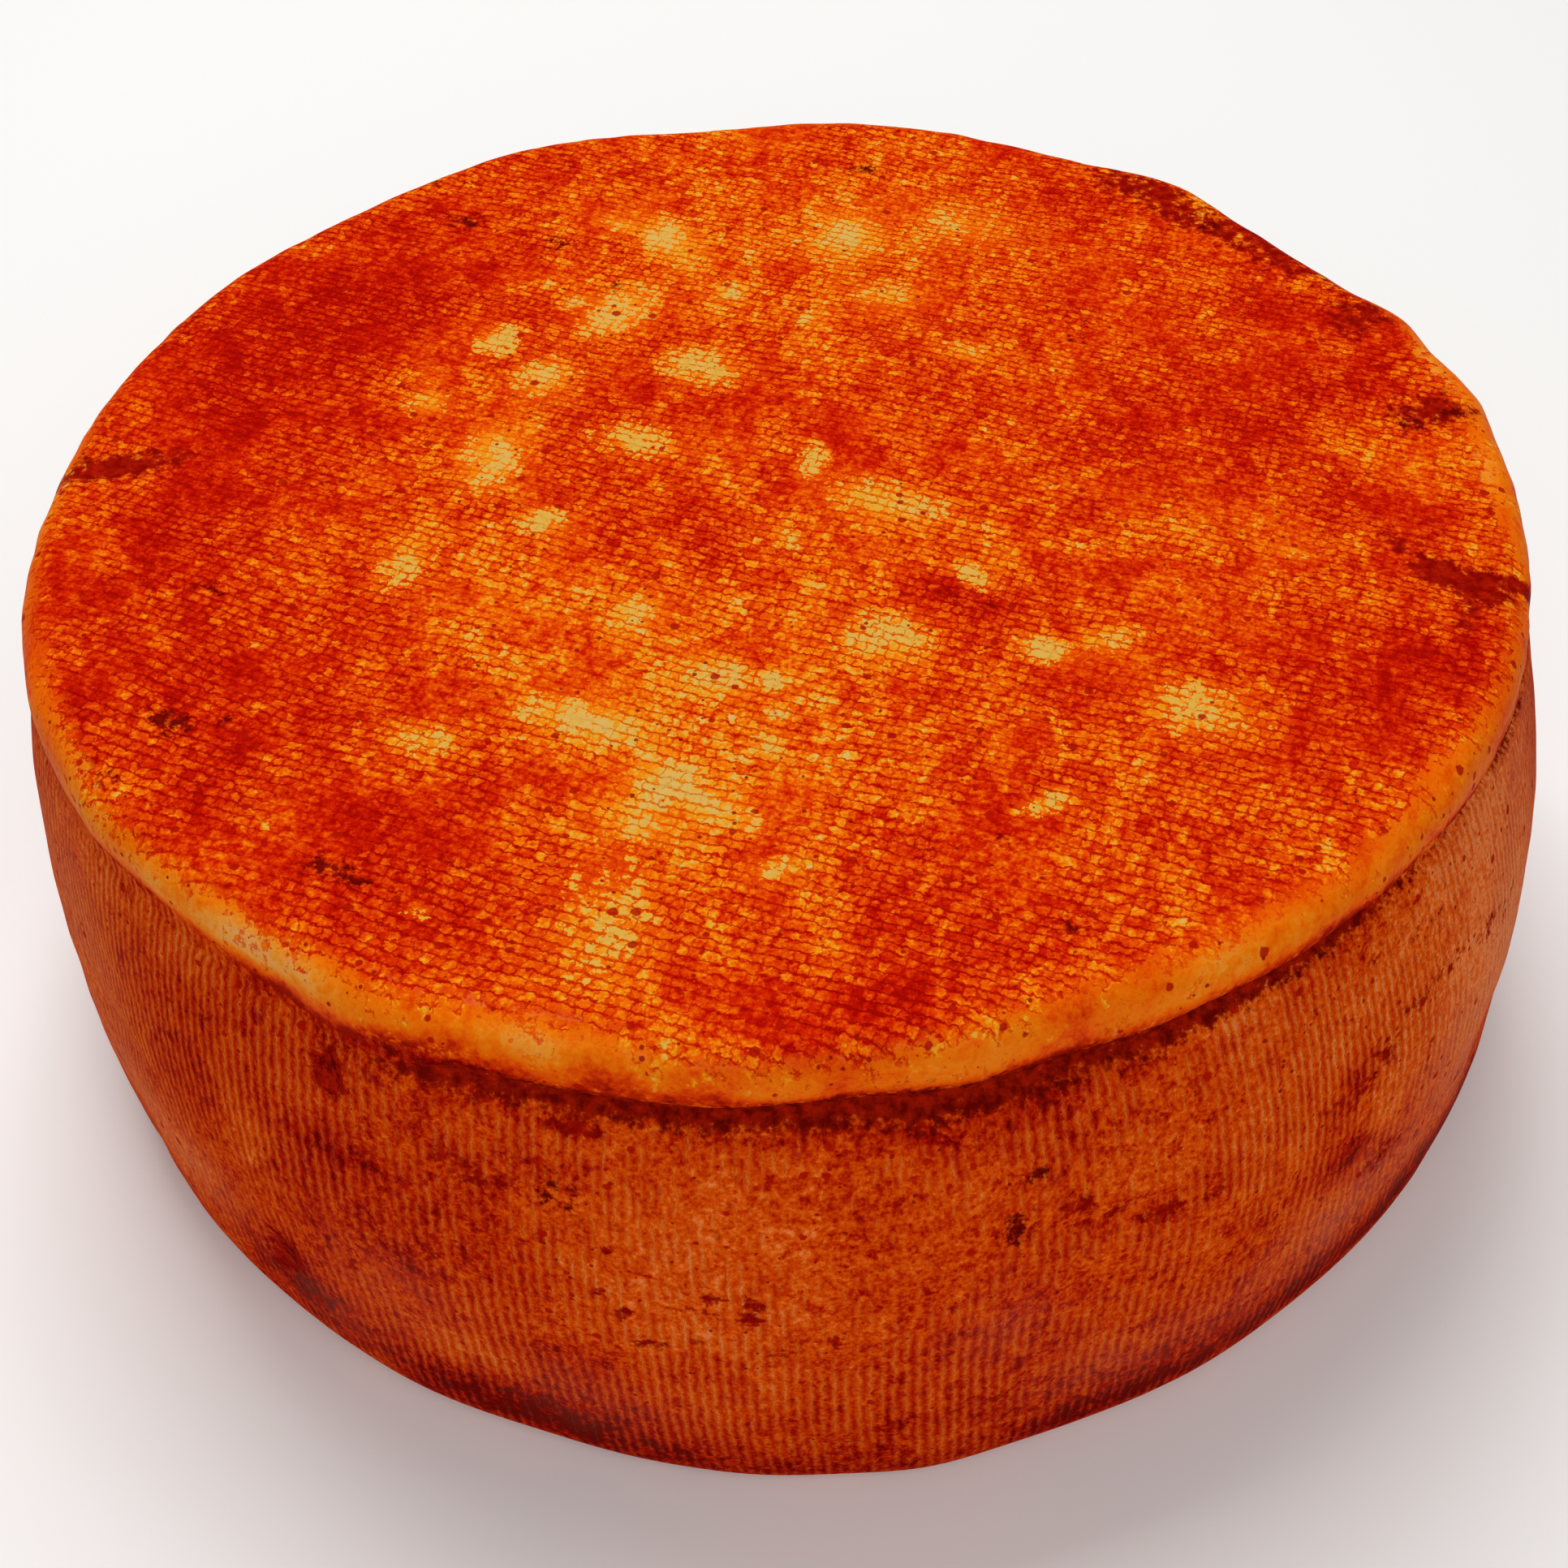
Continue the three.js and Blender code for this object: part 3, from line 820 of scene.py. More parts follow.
@dataclass(frozen=True)
class Speckle:
    """One noise of the rind: its lumps' size in mm, its detail, its roughness and its distortion."""

    size: float
    detail: float
    roughness: float = 0.5
    distortion: float = 0.0

    def inputs(self, place: Any) -> Inputs:
        """Gives the inputs of its node, which reads it at a place in mm."""
        return {
            "Vector": place, "Scale": 1 / self.size, "Detail": self.detail,
            "Roughness": self.roughness, "Distortion": self.distortion,
        }


@dataclass(frozen=True)
class Edge:
    """A mark's ragged edge: how far each noise moves it, and the mark's values at its two sides."""

    patchy: float
    fine: float
    grain: float
    low: float
    high: float


@dataclass(frozen=True)
class RindNodes(Nodes):
    """What every step of the rind's finish reads: its tree, the mesh's marks and the rub's mottling.

    The place is in mm from the rim's axis. Each noise runs from 0 to 1 with a middle of 0.5.
    """

    marks: dict[Mark, bpy.types.NodeSocket]
    place: bpy.types.Node
    broad: bpy.types.Node
    patchy: bpy.types.Node
    fine: bpy.types.Node
    grain: bpy.types.Node


@dataclass(frozen=True)
class Weave:
    """The print of the cloth: its pads, each pad's shade, the lines between rows, and its strength."""

    pads: bpy.types.Node
    shade: bpy.types.NodeSocket
    line: bpy.types.Node
    strength: bpy.types.Node


@dataclass(frozen=True)
class Ribs:
    """The upright ribs, the valleys between them and the round wheel's coordinates."""

    ridges: bpy.types.Node
    valleys: bpy.types.Node
    around: bpy.types.NodeSocket


@dataclass(frozen=True)
class ClothPressedRind:
    """Washed-curd rind, rubbed with oil and ground paprika and pressed in plain-weave cloth.

    It gives the eye a red to golden skin, mottled where the rub is thick or worn, with the square
    pads of the weave on the faces, fine upright ribs round the side and a smooth waxy lip.
    """

    broad: Speckle = Speckle(13.0, 1)
    patchy: Speckle = Speckle(4.2, 4, 0.62, 0.35)
    fine: Speckle = Speckle(1.15, 3, 0.62)
    grain: Speckle = Speckle(0.42, 2, 0.6)
    # How the cloth's threads drift and fray, and where their print fades.
    drift: Speckle = Speckle(26.0, 1)
    fray: Speckle = Speckle(0.9, 2, 0.7)
    blotches: Speckle = Speckle(9.0, 2)
    # How the ribs crowd, kink and break, and the clots of paprika between them.
    crowding: Speckle = Speckle(30.0, 0)
    kinks: Speckle = Speckle(1.1, 2, 0.6)
    breaks: Speckle = Speckle(0.9, 3, 0.65)
    clots: Speckle = Speckle(1.7, 4, 0.66, 0.3)
    bare_edge: Edge = Edge(4.2, 3.0, 2.2, 0.98, 1.46)
    halo_edge: Edge = Edge(2.4, 2.2, 1.0, 0.08, 0.66)
    lip_edge: Edge = Edge(2.8, 3.4, 1.6, 0.26, 0.74)
    # Streaks run across the rows, as a hand rubs the wheel: 4 mm wide and, squashed so, 7 mm long.
    streak_heading: float = 21.2
    streak_squash: float = 0.62
    # The cloth's threads, in mm from one to the next, and how their rows lie.
    row_pitch: float = 1.05
    column_pitch: float = 1.02
    row_heading: float = -21.2
    # The rows lie closer towards the back: this many more in each square millimetre of distance.
    row_spread: float = 0.00047
    pad_shift: float = 0.18
    ribs: int = 446
    # Heights of the relief, in mm.
    pad_height: float = 0.05
    line_depth: float = 0.02
    rib_height: float = 0.10
    grit_height: float = 0.18
    relief_middle: float = 0.22
    # How it shines: next to matt, with a thin waxy coat on the lip.
    roughness: float = 0.5
    ior: float = 1.38
    specular_level: float = 0.001
    wax: float = 0.08
    wax_roughness: float = 0.14
    wax_ior: float = 1.35
    # The brown that paints shade into the lines between the rows, and the pale bloom with its painted
    # sheen.
    line_shade_tint: str = "b0601c"
    bloom_and_sheen_tint: str = "e0a882"
    # Colours from bare cheese to the thickest rub.
    top_stops: Stops = (
        (0.00, "d2ac64"), (0.07, "d9a33c"), (0.15, "e49518"), (0.24, "ea7d0e"), (0.33, "e76907"),
        (0.42, "e05404"), (0.50, "da4304"), (0.59, "d23203"), (0.68, "c72102"), (0.79, "bb1302"),
        (1.00, "a00802"),
    )
    side_stops: Stops = (
        (0.00, "e87c44"), (0.10, "e46c26"), (0.22, "dd5a10"), (0.34, "d44b05"), (0.44, "cc3f03"),
        (0.53, "c23102"), (0.62, "b62402"), (0.72, "a81602"), (0.83, "960c01"), (0.92, "840701"),
        (1.00, "6c0401"),
    )
    lip_stops: Stops = (
        (0.00, "e6a056"), (0.16, "e8922e"), (0.34, "ea780a"), (0.52, "e66203"), (0.68, "dc4602"),
        (0.84, "c02a02"), (1.00, "941202"),
    )

    def make(self) -> bpy.types.Material:
        """Makes the material.

        Returns:
            The rind's material.
        """
        material, nodes = blank_material("paprika_rubbed_rind")
        rind = self.mottling(nodes)
        weave = self.weave(rind)
        ribs = self.rib_marks(rind)
        top = self.top_colour(rind, weave)
        lip = self.lip_colour(rind)
        side = self.side_colour(rind, ribs)
        colour = rind.add(
            "ShaderNodeMix", {0: rind.marks[Mark.SIDE], 6: top, 7: side}, data_type="RGBA",
        ).outputs[2]
        lip_edge = self.ragged(rind, rind.marks[Mark.LIP], self.lip_edge)
        colour = rind.add("ShaderNodeMix", {0: lip_edge, 6: colour, 7: lip}, data_type="RGBA").outputs[2]
        colour = self.grains(rind, colour)
        colour = self.dark_marks(rind, colour)
        relief = self.relief(rind, weave, ribs)
        wax = rind.add(
            "ShaderNodeMapRange", {"Value": rind.marks[Mark.LIP_FOOT], "To Min": self.wax, "To Max": 0.0},
        )
        wax = rind.add("ShaderNodeMath", {0: lip_edge, 1: wax}, operation="MULTIPLY")
        shader = rind.add(
            "ShaderNodeBsdfPrincipled",
            {
                "Base Color": colour, "Roughness": self.roughness, "Normal": relief,
                "IOR": self.ior, "Specular IOR Level": self.specular_level,
                "Coat Weight": wax, "Coat Roughness": self.wax_roughness, "Coat IOR": self.wax_ior,
            },
        )
        rind.add("ShaderNodeOutputMaterial", {"Surface": shader})
        return material

    def mottling(self, nodes: Nodes) -> RindNodes:
        """Adds the marks, the coordinates and the noise that the rub's mottling is made from.

        Args:
            nodes: the material's empty tree.

        Returns:
            What the other steps read.
        """
        marks = {
            mark: nodes.add("ShaderNodeAttribute", {}, attribute_name=mark.value).outputs["Fac"]
            for mark in Mark
        }
        place = nodes.add("ShaderNodeTexCoord", {}).outputs["Object"]
        # From here on the coordinates are millimetres from the rim's axis.
        place = nodes.add(
            "ShaderNodeMapping",
            {"Vector": place, "Location": (-RIM_AXIS[0], -RIM_AXIS[1], 0), "Scale": (1 / MM,) * 3},
        )
        streaked = nodes.add(
            "ShaderNodeMapping",
            {
                "Vector": place, "Rotation": (0, 0, math.radians(self.streak_heading)),
                "Scale": (1.0, self.streak_squash, 1.0),
            },
        )
        return RindNodes(
            tree=nodes.tree,
            marks=marks,
            place=place,
            broad=nodes.add("ShaderNodeTexNoise", self.broad.inputs(place)),
            patchy=nodes.add("ShaderNodeTexNoise", self.patchy.inputs(streaked)),
            fine=nodes.add("ShaderNodeTexNoise", self.fine.inputs(place)),
            grain=nodes.add("ShaderNodeTexNoise", self.grain.inputs(place)),
        )

    def ragged(self, rind: RindNodes, value: Any, edge: Edge) -> bpy.types.Node:
        """Gives a soft mark a ragged edge.

        Args:
            rind: what every step reads.
            value: the soft mark, 0 to 1.
            edge: how the noise breaks its edge.

        Returns:
            The node that gives the mark with its edge.
        """
        broken = rind.weigh(
            value, (rind.patchy, edge.patchy), (rind.fine, edge.fine), (rind.grain, edge.grain),
        )
        middle = (edge.patchy + edge.fine + edge.grain) / 2
        edged = rind.add(
            "ShaderNodeMapRange",
            {"Value": broken, "From Min": edge.low + middle, "From Max": edge.high + middle},
            interpolation_type="SMOOTHSTEP",
        )
        return self.kept_near(rind, edged, value)

    def kept_near(self, rind: RindNodes, value: bpy.types.Node, mark: Any) -> bpy.types.Node:
        """Fades a value out away from a mark, where the noise alone would leave specks.

        Args:
            rind: what every step reads.
            value: what is faded.
            mark: the mark that it is kept near.

        Returns:
            The faded value.
        """
        near = rind.add("ShaderNodeMapRange", {"Value": mark, "From Min": 0.03, "From Max": 0.20})
        return rind.add("ShaderNodeMath", {0: value, 1: near}, operation="MULTIPLY")

    def weave(self, rind: RindNodes) -> Weave:
        """Adds the print of the cloth: rows and columns of pads with grooves between them.

        Args:
            rind: what every step reads.

        Returns:
            The pads, their own shades, the lines between the rows and the print's strength.
        """
        drift = rind.add("ShaderNodeTexNoise", self.drift.inputs(rind.place))
        wobble = rind.add("ShaderNodeTexNoise", self.fray.inputs(rind.place))
        drifted = rind.add(
            "ShaderNodeVectorMath", {0: drift.outputs["Color"], 1: (4.0, 4.0, 0), 2: rind.place},
            operation="MULTIPLY_ADD",
        )
        pulled = rind.add(
            "ShaderNodeVectorMath", {0: wobble.outputs["Color"], 1: (1.7, 1.15, 0), 2: drifted},
            operation="MULTIPLY_ADD",
        )
        threads = rind.add(
            "ShaderNodeMapping",
            {"Vector": pulled, "Rotation": (0, 0, math.radians(-self.row_heading))},
        )
        split = rind.add("ShaderNodeSeparateXYZ", {0: threads})
        across = split.outputs["Y"]
        crowding = rind.add(
            "ShaderNodeMath", {0: across, 1: self.row_spread, 2: 1 / self.row_pitch},
            operation="MULTIPLY_ADD",
        )
        row = rind.add("ShaderNodeMath", {0: across, 1: crowding}, operation="MULTIPLY")
        column = rind.add(
            "ShaderNodeMath", {0: split.outputs["X"], 1: self.column_pitch}, operation="DIVIDE",
        )
        row_number = rind.add("ShaderNodeMath", {0: row}, operation="FLOOR")
        # Each row of pads sits a little off from the next one.
        shift = rind.add("ShaderNodeTexWhiteNoise", {"W": row_number}, noise_dimensions="1D")
        column = rind.weigh(column, (shift.outputs["Value"], self.pad_shift))
        pad_number = rind.add("ShaderNodeMath", {0: column}, operation="FLOOR")
        pad_place = rind.add("ShaderNodeCombineXYZ", {0: pad_number, 1: row_number})
        shade = rind.add("ShaderNodeTexWhiteNoise", {"Vector": pad_place}, noise_dimensions="2D")
        # Three in ten of the gaps between the pads of a row are partly closed, some of them nearly.
        gap_number = rind.add("ShaderNodeMath", {0: column}, operation="ROUND")
        gap_place = rind.add("ShaderNodeCombineXYZ", {0: gap_number, 1: row_number, 2: 7.0})
        closing = rind.add("ShaderNodeTexWhiteNoise", {"Vector": gap_place}, noise_dimensions="3D")
        closed = rind.add(
            "ShaderNodeMapRange",
            {"Value": closing.outputs["Value"], "From Min": 0.70, "From Max": 1.00, "To Max": 0.30},
        )
        column_gap = rind.add("ShaderNodeMath", {0: column, 1: 0.5}, operation="PINGPONG")
        column_gap = rind.add("ShaderNodeMath", {0: column_gap, 1: closed})
        row_gap = rind.add("ShaderNodeMath", {0: row, 1: 0.5}, operation="PINGPONG")
        gap = rind.add("ShaderNodeMath", {0: row_gap, 1: column_gap, 2: 0.12}, operation="SMOOTH_MIN")
        pads = rind.add(
            "ShaderNodeMapRange", {"Value": gap, "From Min": 0.01, "From Max": 0.18},
            interpolation_type="SMOOTHSTEP",
        )
        line = rind.add(
            "ShaderNodeMapRange",
            {"Value": row_gap, "From Min": 0.04, "From Max": 0.15, "To Min": 1, "To Max": 0},
            interpolation_type="SMOOTHSTEP",
        )
        # The print fades out in blotches.
        blotches = rind.add("ShaderNodeTexNoise", self.blotches.inputs(rind.place))
        strength = rind.add(
            "ShaderNodeMapRange",
            {"Value": blotches, "From Min": 0.36, "From Max": 0.52, "To Min": 0.45, "To Max": 1.0},
            interpolation_type="SMOOTHSTEP",
        )
        # The lines between the rows break off every 1 to 3 mm.
        breaks = rind.add(
            "ShaderNodeMapRange",
            {"Value": rind.fine, "From Min": 0.36, "From Max": 0.50, "To Min": 0.5, "To Max": 1.0},
        )
        line = rind.add("ShaderNodeMath", {0: line, 1: breaks}, operation="MULTIPLY")
        return Weave(pads=pads, shade=shade.outputs["Value"], line=line, strength=strength)

    def rib_marks(self, rind: RindNodes) -> Ribs:
        """Adds the upright ribs round the side.

        Args:
            rind: what every step reads.

        Returns:
            The ribs, the valleys between them and the round wheel's coordinates.
        """
        around = rind.add("ShaderNodeAttribute", {}, attribute_name=ROUND_PLACE).outputs["Vector"]
        split = rind.add("ShaderNodeSeparateXYZ", {0: around})
        bearing = rind.add(
            "ShaderNodeMath", {0: split.outputs["Y"], 1: split.outputs["X"]}, operation="ARCTAN2",
        )
        # The ribs crowd and lean a little, 30 mm at a time, and waver every millimetre up the side.
        crowding = rind.add("ShaderNodeTexNoise", self.crowding.inputs(around))
        kinks = rind.add("ShaderNodeTexNoise", self.kinks.inputs(around))
        number = rind.add(
            "ShaderNodeMath", {0: bearing, 1: self.ribs / (2 * math.pi)}, operation="MULTIPLY",
        )
        number = rind.weigh(number, (crowding, 3.5), (kinks, 0.9))
        gap = rind.add("ShaderNodeMath", {0: number, 1: 0.5}, operation="PINGPONG")
        # Grit of the rub beads the ribs and pits the valleys.
        gap = rind.weigh(gap, (rind.fine, 0.8), (rind.grain, 0.9))
        ridge = rind.add(
            "ShaderNodeMapRange", {"Value": gap, "From Min": 1.05, "From Max": 1.31},
            interpolation_type="SMOOTHSTEP",
        )
        valley = rind.add(
            "ShaderNodeMapRange",
            {"Value": gap, "From Min": 0.85, "From Max": 1.10, "To Min": 1, "To Max": 0},
            interpolation_type="SMOOTHSTEP",
        )
        # Breaks: each valley deepens and fades along its length, 1 to 4 mm at a time.
        lengthwise = rind.add("ShaderNodeMapping", {"Vector": around, "Scale": (1.0, 1.0, 0.42)})
        breaks = rind.add("ShaderNodeTexNoise", self.breaks.inputs(lengthwise))
        patches = rind.add("ShaderNodeTexNoise", self.blotches.inputs(around))
        strength = rind.weigh(rind.marks[Mark.CLOTH], (patches, 2.0), (breaks, 3.2))
        strength = rind.add(
            "ShaderNodeMapRange", {"Value": strength, "From Min": 2.60, "From Max": 3.45},
            interpolation_type="SMOOTHSTEP",
        )
        ridges = rind.add("ShaderNodeMath", {0: ridge, 1: strength}, operation="MULTIPLY")
        valleys = rind.add("ShaderNodeMath", {0: valley, 1: strength}, operation="MULTIPLY")
        return Ribs(ridges=ridges, valleys=valleys, around=around)

    def top_colour(self, rind: RindNodes, weave: Weave) -> bpy.types.NodeSocket:
        """Adds the colour of the faces.

        Args:
            rind: what every step reads.
            weave: the cloth's print.

        Returns:
            The colour.
        """
        bare = rind.weigh(rind.marks[Mark.RUB], (weave.pads, 0.60))
        bare = self.ragged(rind, bare, self.bare_edge)
        bare = self.kept_near(rind, bare, rind.marks[Mark.RUB])
        halo = self.ragged(rind, rind.marks[Mark.RUB], self.halo_edge)
        # The pads are worn paler than the rest, a few far more than the others.
        wear = rind.add("ShaderNodeMath", {0: weave.shade, 1: 1.6}, operation="POWER")
        wear = rind.add("ShaderNodeMath", {0: wear, 1: 0.22, 2: 0.15}, operation="MULTIPLY_ADD")
        wear = rind.add("ShaderNodeMath", {0: wear, 1: weave.pads}, operation="MULTIPLY")
        printed = rind.add("ShaderNodeMath", {0: bare, 1: -0.75, 2: 1.0}, operation="MULTIPLY_ADD")
        printed = rind.add("ShaderNodeMath", {0: printed, 1: weave.strength}, operation="MULTIPLY")
        wear = rind.add("ShaderNodeMath", {0: wear, 1: printed}, operation="MULTIPLY")
        lines = rind.add("ShaderNodeMath", {0: printed, 1: weave.line}, operation="MULTIPLY")
        # How much paprika lies on each spot: 0 is bare cheese, 1 is the thickest rub.
        rub = rind.weigh(
            rind.marks[Mark.DEPTH],
            (rind.broad, 0.32), (rind.patchy, 0.90), (rind.fine, 0.95), (rind.grain, 0.8),
            (wear, -1.0), (lines, 0.12), (bare, -0.18), (halo, -0.12),
        )
        rub = rind.add("ShaderNodeMath", {0: rub, 1: 1.318}, operation="SUBTRACT")
        # Round a rubbed patch the rub is a thin even gold, and on it there is next to none.
        for mark, weight, thin in ((halo, 0.42, 0.20), (bare, 0.84, 0.0)):
            share = rind.add("ShaderNodeMath", {0: mark, 1: weight}, operation="MULTIPLY")
            rub = rind.add("ShaderNodeMix", {0: share, 2: rub, 3: thin}, data_type="FLOAT")
        ramp = rind.add("ShaderNodeValToRGB", {"Fac": rub})
        ground = set_stops(ramp, self.top_stops)
        # Painted shade: the lines between the rows are darkened brown for the shadow of each row of pads,
        # most where the rub is thin.
        shown = rind.add(
            "ShaderNodeMapRange",
            {"Value": rub, "From Min": 0.30, "From Max": 0.75, "To Min": 0.32, "To Max": 0.10},
        )
        shown = rind.add("ShaderNodeMath", {0: shown, 1: lines}, operation="MULTIPLY")
        return rind.add(
            "ShaderNodeMix", {0: shown, 6: ground, 7: linear(self.line_shade_tint)}, data_type="RGBA",
            blend_type="MULTIPLY",
        ).outputs[2]

    def lip_colour(self, rind: RindNodes) -> bpy.types.NodeSocket:
        """Adds the colour of the smooth lip.

        Args:
            rind: what every step reads.

        Returns:
            The colour.
        """
        # The rub gathers towards the lip's foot.
        tone = rind.weigh(
            -0.81,
            (rind.broad, 0.50), (rind.patchy, 1.1), (rind.fine, 0.60), (rind.grain, 0.40),
            (rind.marks[Mark.PALE], -0.50), (rind.marks[Mark.LIP_FOOT], 0.42),
        )
        ramp = rind.add("ShaderNodeValToRGB", {"Fac": tone})
        return set_stops(ramp, self.lip_stops)

    def side_colour(self, rind: RindNodes, ribs: Ribs) -> bpy.types.NodeSocket:
        """Adds the colour of the side.

        Args:
            rind: what every step reads.
            ribs: the upright ribs.

        Returns:
            The colour.
        """
        # Clots of wet paprika, 0.3 to 1.5 mm across, thickest where the rub is.
        lumps = rind.add("ShaderNodeTexNoise", self.clots.inputs(ribs.around))
        clots = rind.weigh(lumps, (rind.marks[Mark.DEPTH], 0.24), (rind.broad, 0.14))
        clots = rind.add(
            "ShaderNodeMapRange", {"Value": clots, "From Min": 0.735, "From Max": 0.83},
            interpolation_type="SMOOTHSTEP",
        )
        # Painted highlight: the ridges' tone is lightened for the light that the ribs' tops catch. The
        # valleys are made darker.
        tone = rind.weigh(
            rind.marks[Mark.DEPTH],
            (rind.broad, 0.20), (rind.patchy, 0.60), (rind.fine, 1.10), (rind.grain, 1.15),
            (clots, 0.22), (ribs.valleys, 0.22), (ribs.ridges, -0.24),
        )
        tone = rind.add("ShaderNodeMath", {0: tone, 1: 1.538}, operation="SUBTRACT")
        ramp = rind.add("ShaderNodeValToRGB", {"Fac": tone})
        ground = set_stops(ramp, self.side_stops)
        # The bloom lies thin and broken. The little of its pale colour on every ridge is a painted sheen.
        bloom_and_sheen_film = rind.add(
            "ShaderNodeMapRange",
            {"Value": rind.patchy, "From Min": 0.35, "From Max": 0.65, "To Min": 0.6, "To Max": 1.4},
        )
        bloom_and_sheen_film = rind.add("ShaderNodeMath", {0: bloom_and_sheen_film, 1: rind.marks[Mark.BLOOM]}, operation="MULTIPLY")
        bloom_and_sheen_film = rind.weigh(bloom_and_sheen_film, (ribs.ridges, 0.025))
        return rind.add(
            "ShaderNodeMix", {0: bloom_and_sheen_film, 6: ground, 7: linear(self.bloom_and_sheen_tint)}, data_type="RGBA",
        ).outputs[2]

    def grains(self, rind: RindNodes, colour: bpy.types.NodeSocket) -> bpy.types.NodeSocket:
        """Adds loose grains of paprika over the ground colour.

        Args:
            rind: what every step reads.
            colour: the ground colour.

        Returns:
            The colour with its grains.
        """
        # Cell size in mm, share of the cells without a grain, largest radius in cells, and colour.
        kinds = ((1.90, 0.45, 0.28, "aa1203"), (0.95, 0.58, 0.26, "921203"))
        for size, empty, reach, tint in kinds:
            cells = rind.add("ShaderNodeTexVoronoi", {"Vector": rind.place, "Scale": 1 / size})
            lot = rind.add("ShaderNodeSeparateColor", {0: cells.outputs["Color"]})
            radius = rind.add(
                "ShaderNodeMapRange",
                {"Value": lot.outputs[0], "From Min": empty, "To Max": reach},
            )
            radius = rind.weigh(radius, (rind.grain, 0.20))
            inside = rind.add(
                "ShaderNodeMath", {0: radius, 1: cells.outputs["Distance"]}, operation="SUBTRACT",
            )
            shown = rind.add(
                "ShaderNodeMapRange",
                {"Value": inside, "From Min": 0.10, "From Max": 0.15, "To Max": 0.93},
            )
            colour = rind.add(
                "ShaderNodeMix", {0: shown, 6: colour, 7: linear(tint)}, data_type="RGBA",
            ).outputs[2]
        return colour

    def dark_marks(self, rind: RindNodes, colour: bpy.types.NodeSocket) -> bpy.types.NodeSocket:
        """Adds folds, the seam and mould over the ground colour.

        Args:
            rind: what every step reads.
            colour: the ground colour.

        Returns:
            The colour with its dark marks.
        """
        # Each mark with its edge and its two shades.
        kinds = (
            (Mark.FOLD, Edge(1.2, 1.8, 0.8, 0.16, 0.66), "aa1804", "860702"),
            (Mark.SEAM, Edge(0.8, 1.5, 1.2, 0.14, 0.70), "a01804", "680702"),
            (Mark.MOULD, Edge(1.2, 2.8, 1.6, 0.22, 0.86), "8a1206", "600602"),
        )
        shades = rind.add("ShaderNodeMapRange", {"Value": rind.fine, "From Min": 0.38, "From Max": 0.62})
        for mark, edge, light, dark in kinds:
            shown = self.ragged(rind, rind.marks[mark], edge)
            tint = rind.add(
                "ShaderNodeMix", {0: shades, 6: linear(light), 7: linear(dark)}, data_type="RGBA",
            ).outputs[2]
            colour = rind.add(
                "ShaderNodeMix", {0: shown, 6: colour, 7: tint}, data_type="RGBA",
            ).outputs[2]
        return colour

    def relief(self, rind: RindNodes, weave: Weave, ribs: Ribs) -> bpy.types.Node:
        """Adds the fine relief: pads 0.05 mm high, ribs 0.1 mm high, and grain.

        Args:
            rind: what every step reads.
            weave: the cloth's print.
            ribs: the upright ribs.

        Returns:
            The bump node.
        """
        pads = rind.add("ShaderNodeMath", {0: weave.pads, 1: self.pad_height}, operation="MULTIPLY")
        pads = rind.weigh(pads, (weave.line, -self.line_depth))
        pads = rind.add("ShaderNodeMath", {0: pads, 1: weave.strength}, operation="MULTIPLY")
        ridges = rind.add("ShaderNodeMath", {0: ribs.ridges, 1: self.rib_height}, operation="MULTIPLY")
        height = rind.add(
            "ShaderNodeMix", {0: rind.marks[Mark.SIDE], 2: pads, 3: ridges}, data_type="FLOAT",
        )
        height = rind.weigh(height, (rind.fine, self.grit_height), (rind.grain, self.grit_height))
        # Taken about its middle, so that no step shows where the lip starts.
        height = rind.add("ShaderNodeMath", {0: height, 1: self.relief_middle}, operation="SUBTRACT")
        smooth = rind.weigh(1.0, (rind.marks[Mark.LIP], -0.85))
        height = rind.add("ShaderNodeMath", {0: height, 1: smooth}, operation="MULTIPLY")
        return rind.add("ShaderNodeBump", {"Height": height, "Distance": MM, "Strength": 1.0})


@dataclass(frozen=True)
class MattCard:
    """Matt white card, as a studio table is covered with: it gives a plain pale ground."""

    colour: str = "f4f3f1"

    def make(self) -> bpy.types.Material:
        """Makes the material.

        Returns:
            The card's material.
        """
        material, nodes = blank_material("matt_white_card")
        shader = nodes.add(
            "ShaderNodeBsdfPrincipled",
            {"Base Color": linear(self.colour), "Roughness": 0.9, "Specular IOR Level": 0.1},
        )
        nodes.add("ShaderNodeOutputMaterial", {"Surface": shader})
        return material


# --------------------------------------------------------------------------------------------------
# Studio
# --------------------------------------------------------------------------------------------------


@dataclass(frozen=True)
class Softbox:
    """A soft square light: its place and its side in metres, and its power in watts."""

    name: str
    place: tuple[float, float, float]
    size: float
    watts: float


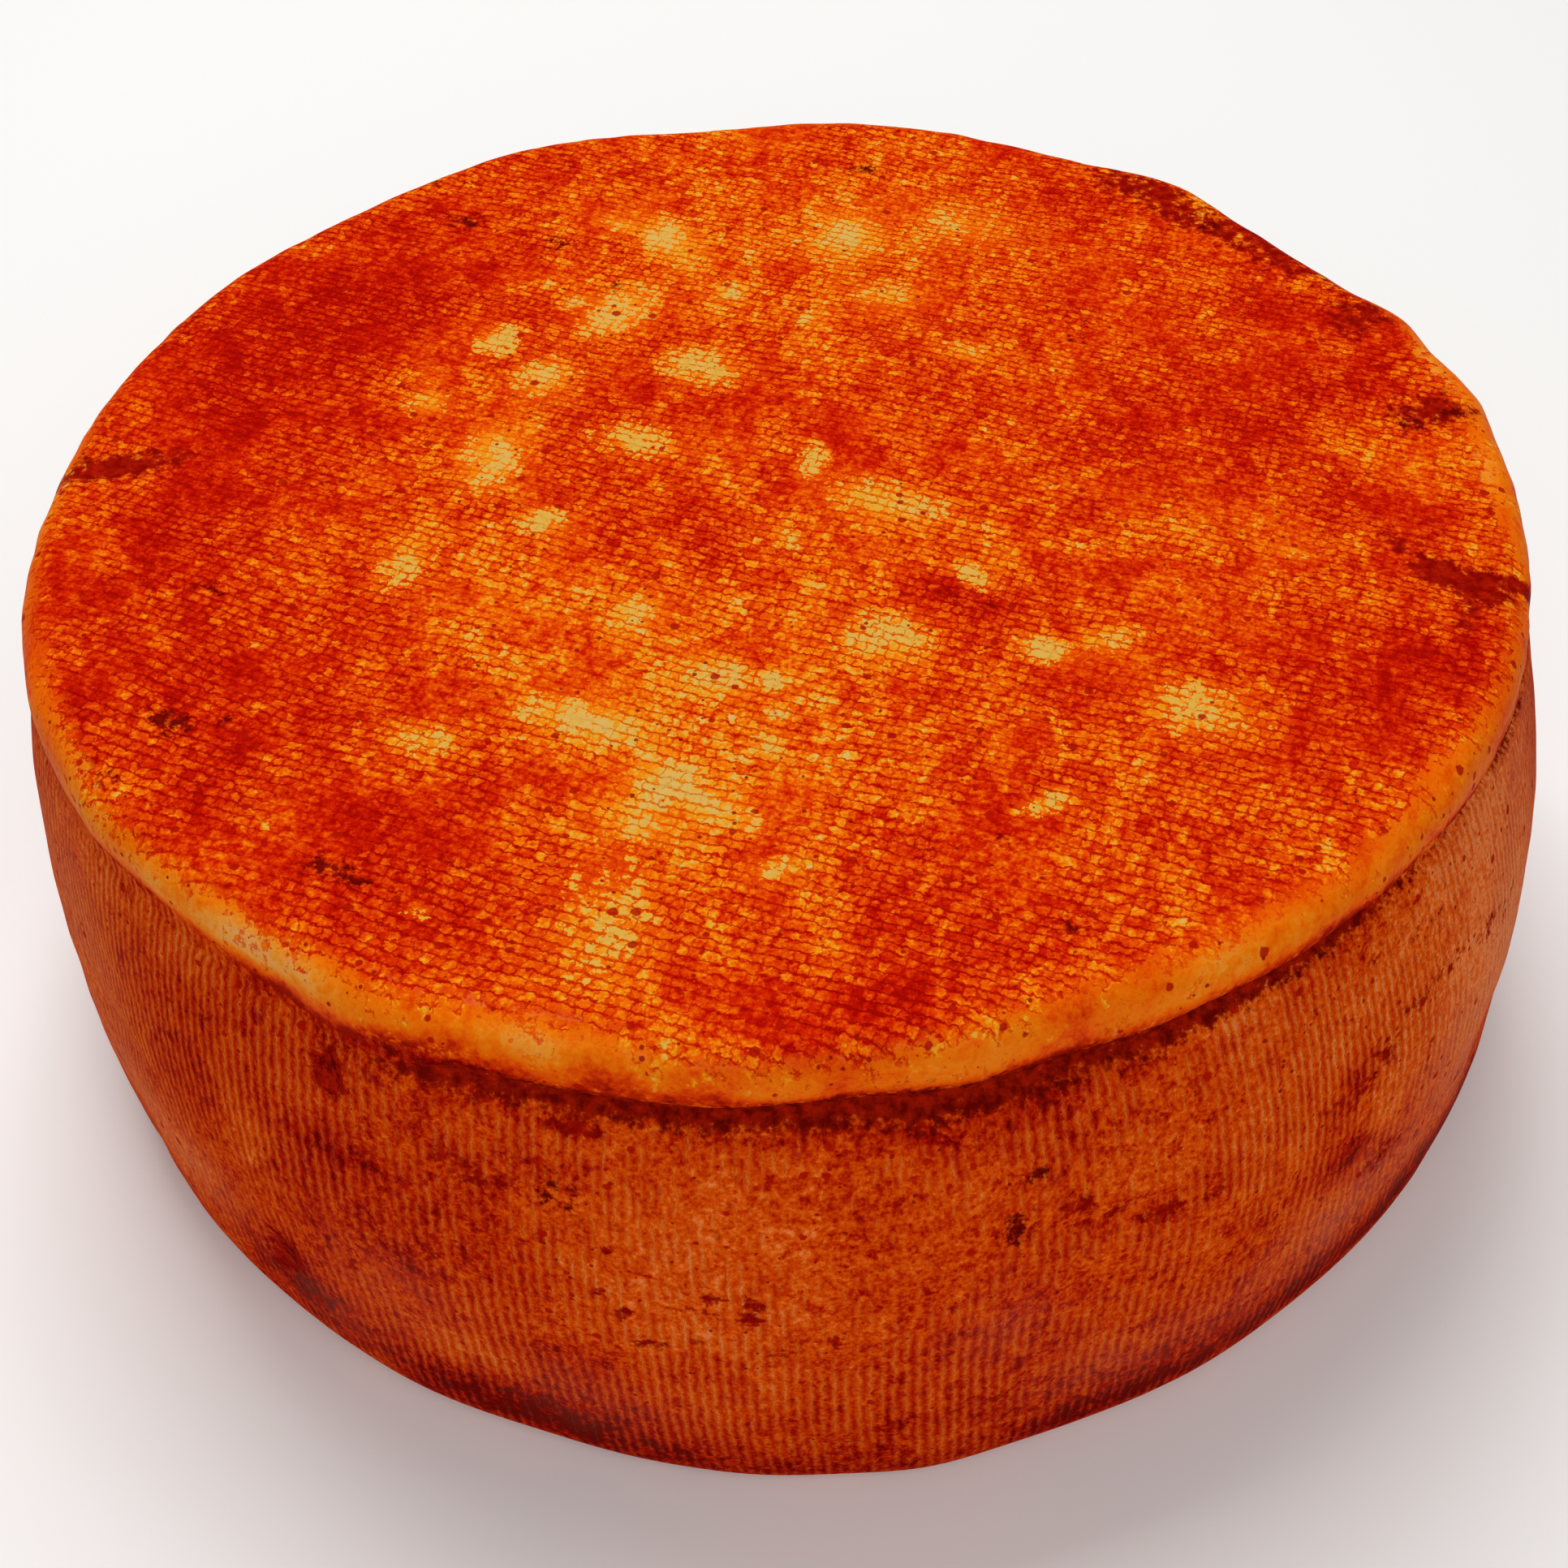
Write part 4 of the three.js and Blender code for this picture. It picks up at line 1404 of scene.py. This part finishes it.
@dataclass
class Studio:
    """The pale floor, the soft light and the camera. Lengths are in metres."""

    floor_size: float = 6.0
    lens: float = 56.075
    sensor: float = 36.0
    camera_tilt: float = 45.467
    camera_place: tuple[float, float, float] = (-0.000706, -0.184532, 0.200046)
    aim: tuple[float, float, float] = (0.0, 0.0, 0.03)
    softboxes: tuple[Softbox, ...] = (
        Softbox("back_softbox", (-0.10, 0.30, 0.76), 0.45, 4.65),
        Softbox("front_softbox", (0.08, -0.72, 0.70), 0.8, 4.3),
    )
    near_clip: float = 0.01
    sky_colour: str = "ffffff"
    sky_strength: float = 0.22

    def floor(self) -> bpy.types.Object:
        """Builds the floor."""
        mesh = bpy.data.meshes.new("floor")
        sheet = bmesh.new()
        bmesh.ops.create_grid(sheet, x_segments=1, y_segments=1, size=self.floor_size / 2)
        sheet.to_mesh(mesh)
        sheet.free()
        floor = bpy.data.objects.new("floor", mesh)
        bpy.context.scene.collection.objects.link(floor)
        floor.data.materials.append(MattCard().make())
        return floor

    def light(self, softbox: Softbox) -> bpy.types.Object:
        """Adds one soft square light.

        Args:
            softbox: its name, place, size and power.

        Returns:
            The light, turned to the middle of the wheel.
        """
        lamp = bpy.data.lights.new(softbox.name, "AREA")
        lamp.size = softbox.size
        lamp.energy = softbox.watts
        light = bpy.data.objects.new(softbox.name, lamp)
        place = Vector(softbox.place)
        facing = (Vector(self.aim) - place).to_track_quat("-Z", "Y").to_matrix().to_4x4()
        light.matrix_world = Matrix.Translation(place) @ facing
        bpy.context.scene.collection.objects.link(light)
        return light

    def camera(self) -> bpy.types.Object:
        """Adds the camera."""
        eye = bpy.data.cameras.new("camera")
        eye.lens = self.lens
        eye.sensor_width = self.sensor
        eye.clip_start = self.near_clip
        camera = bpy.data.objects.new("camera", eye)
        turned = Matrix.Rotation(math.radians(self.camera_tilt), 4, "X")
        camera.matrix_world = Matrix.Translation(self.camera_place) @ turned
        bpy.context.scene.collection.objects.link(camera)
        bpy.context.scene.camera = camera
        return camera

    def sky(self) -> None:
        """Sets the even light of the room."""
        world = bpy.data.worlds.new("room")
        world.use_nodes = True
        world.node_tree.nodes.clear()
        nodes = Nodes(world.node_tree)
        glow = nodes.add(
            "ShaderNodeBackground", {"Color": linear(self.sky_colour), "Strength": self.sky_strength},
        )
        nodes.add("ShaderNodeOutputWorld", {"Surface": glow})
        bpy.context.scene.world = world

    def build(self) -> bpy.types.Object:
        """Builds the studio.

        Returns:
            The floor, which is all of it that shows.
        """
        self.sky()
        self.camera()
        for softbox in self.softboxes:
            self.light(softbox)
        scene = bpy.context.scene
        scene.view_settings.view_transform = "Standard"
        scene.view_settings.look = "None"
        return self.floor()


def main() -> None:
    """Builds the wheel and the studio round the frame."""
    logging.basicConfig(level=logging.INFO, format="%(name)s: %(message)s")
    body = WheelBody()
    rind = body.build()
    rind.data.materials.append(ClothPressedRind().make())
    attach(rind, "root")
    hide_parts("cheese_wheel")
    LOG.info("rind: %d vertices, %d faces", len(rind.data.vertices), len(rind.data.polygons))
    floor = Studio().build()
    LOG.info("studio: floor, two softboxes and the camera")


if __name__ == "__main__":
    main()
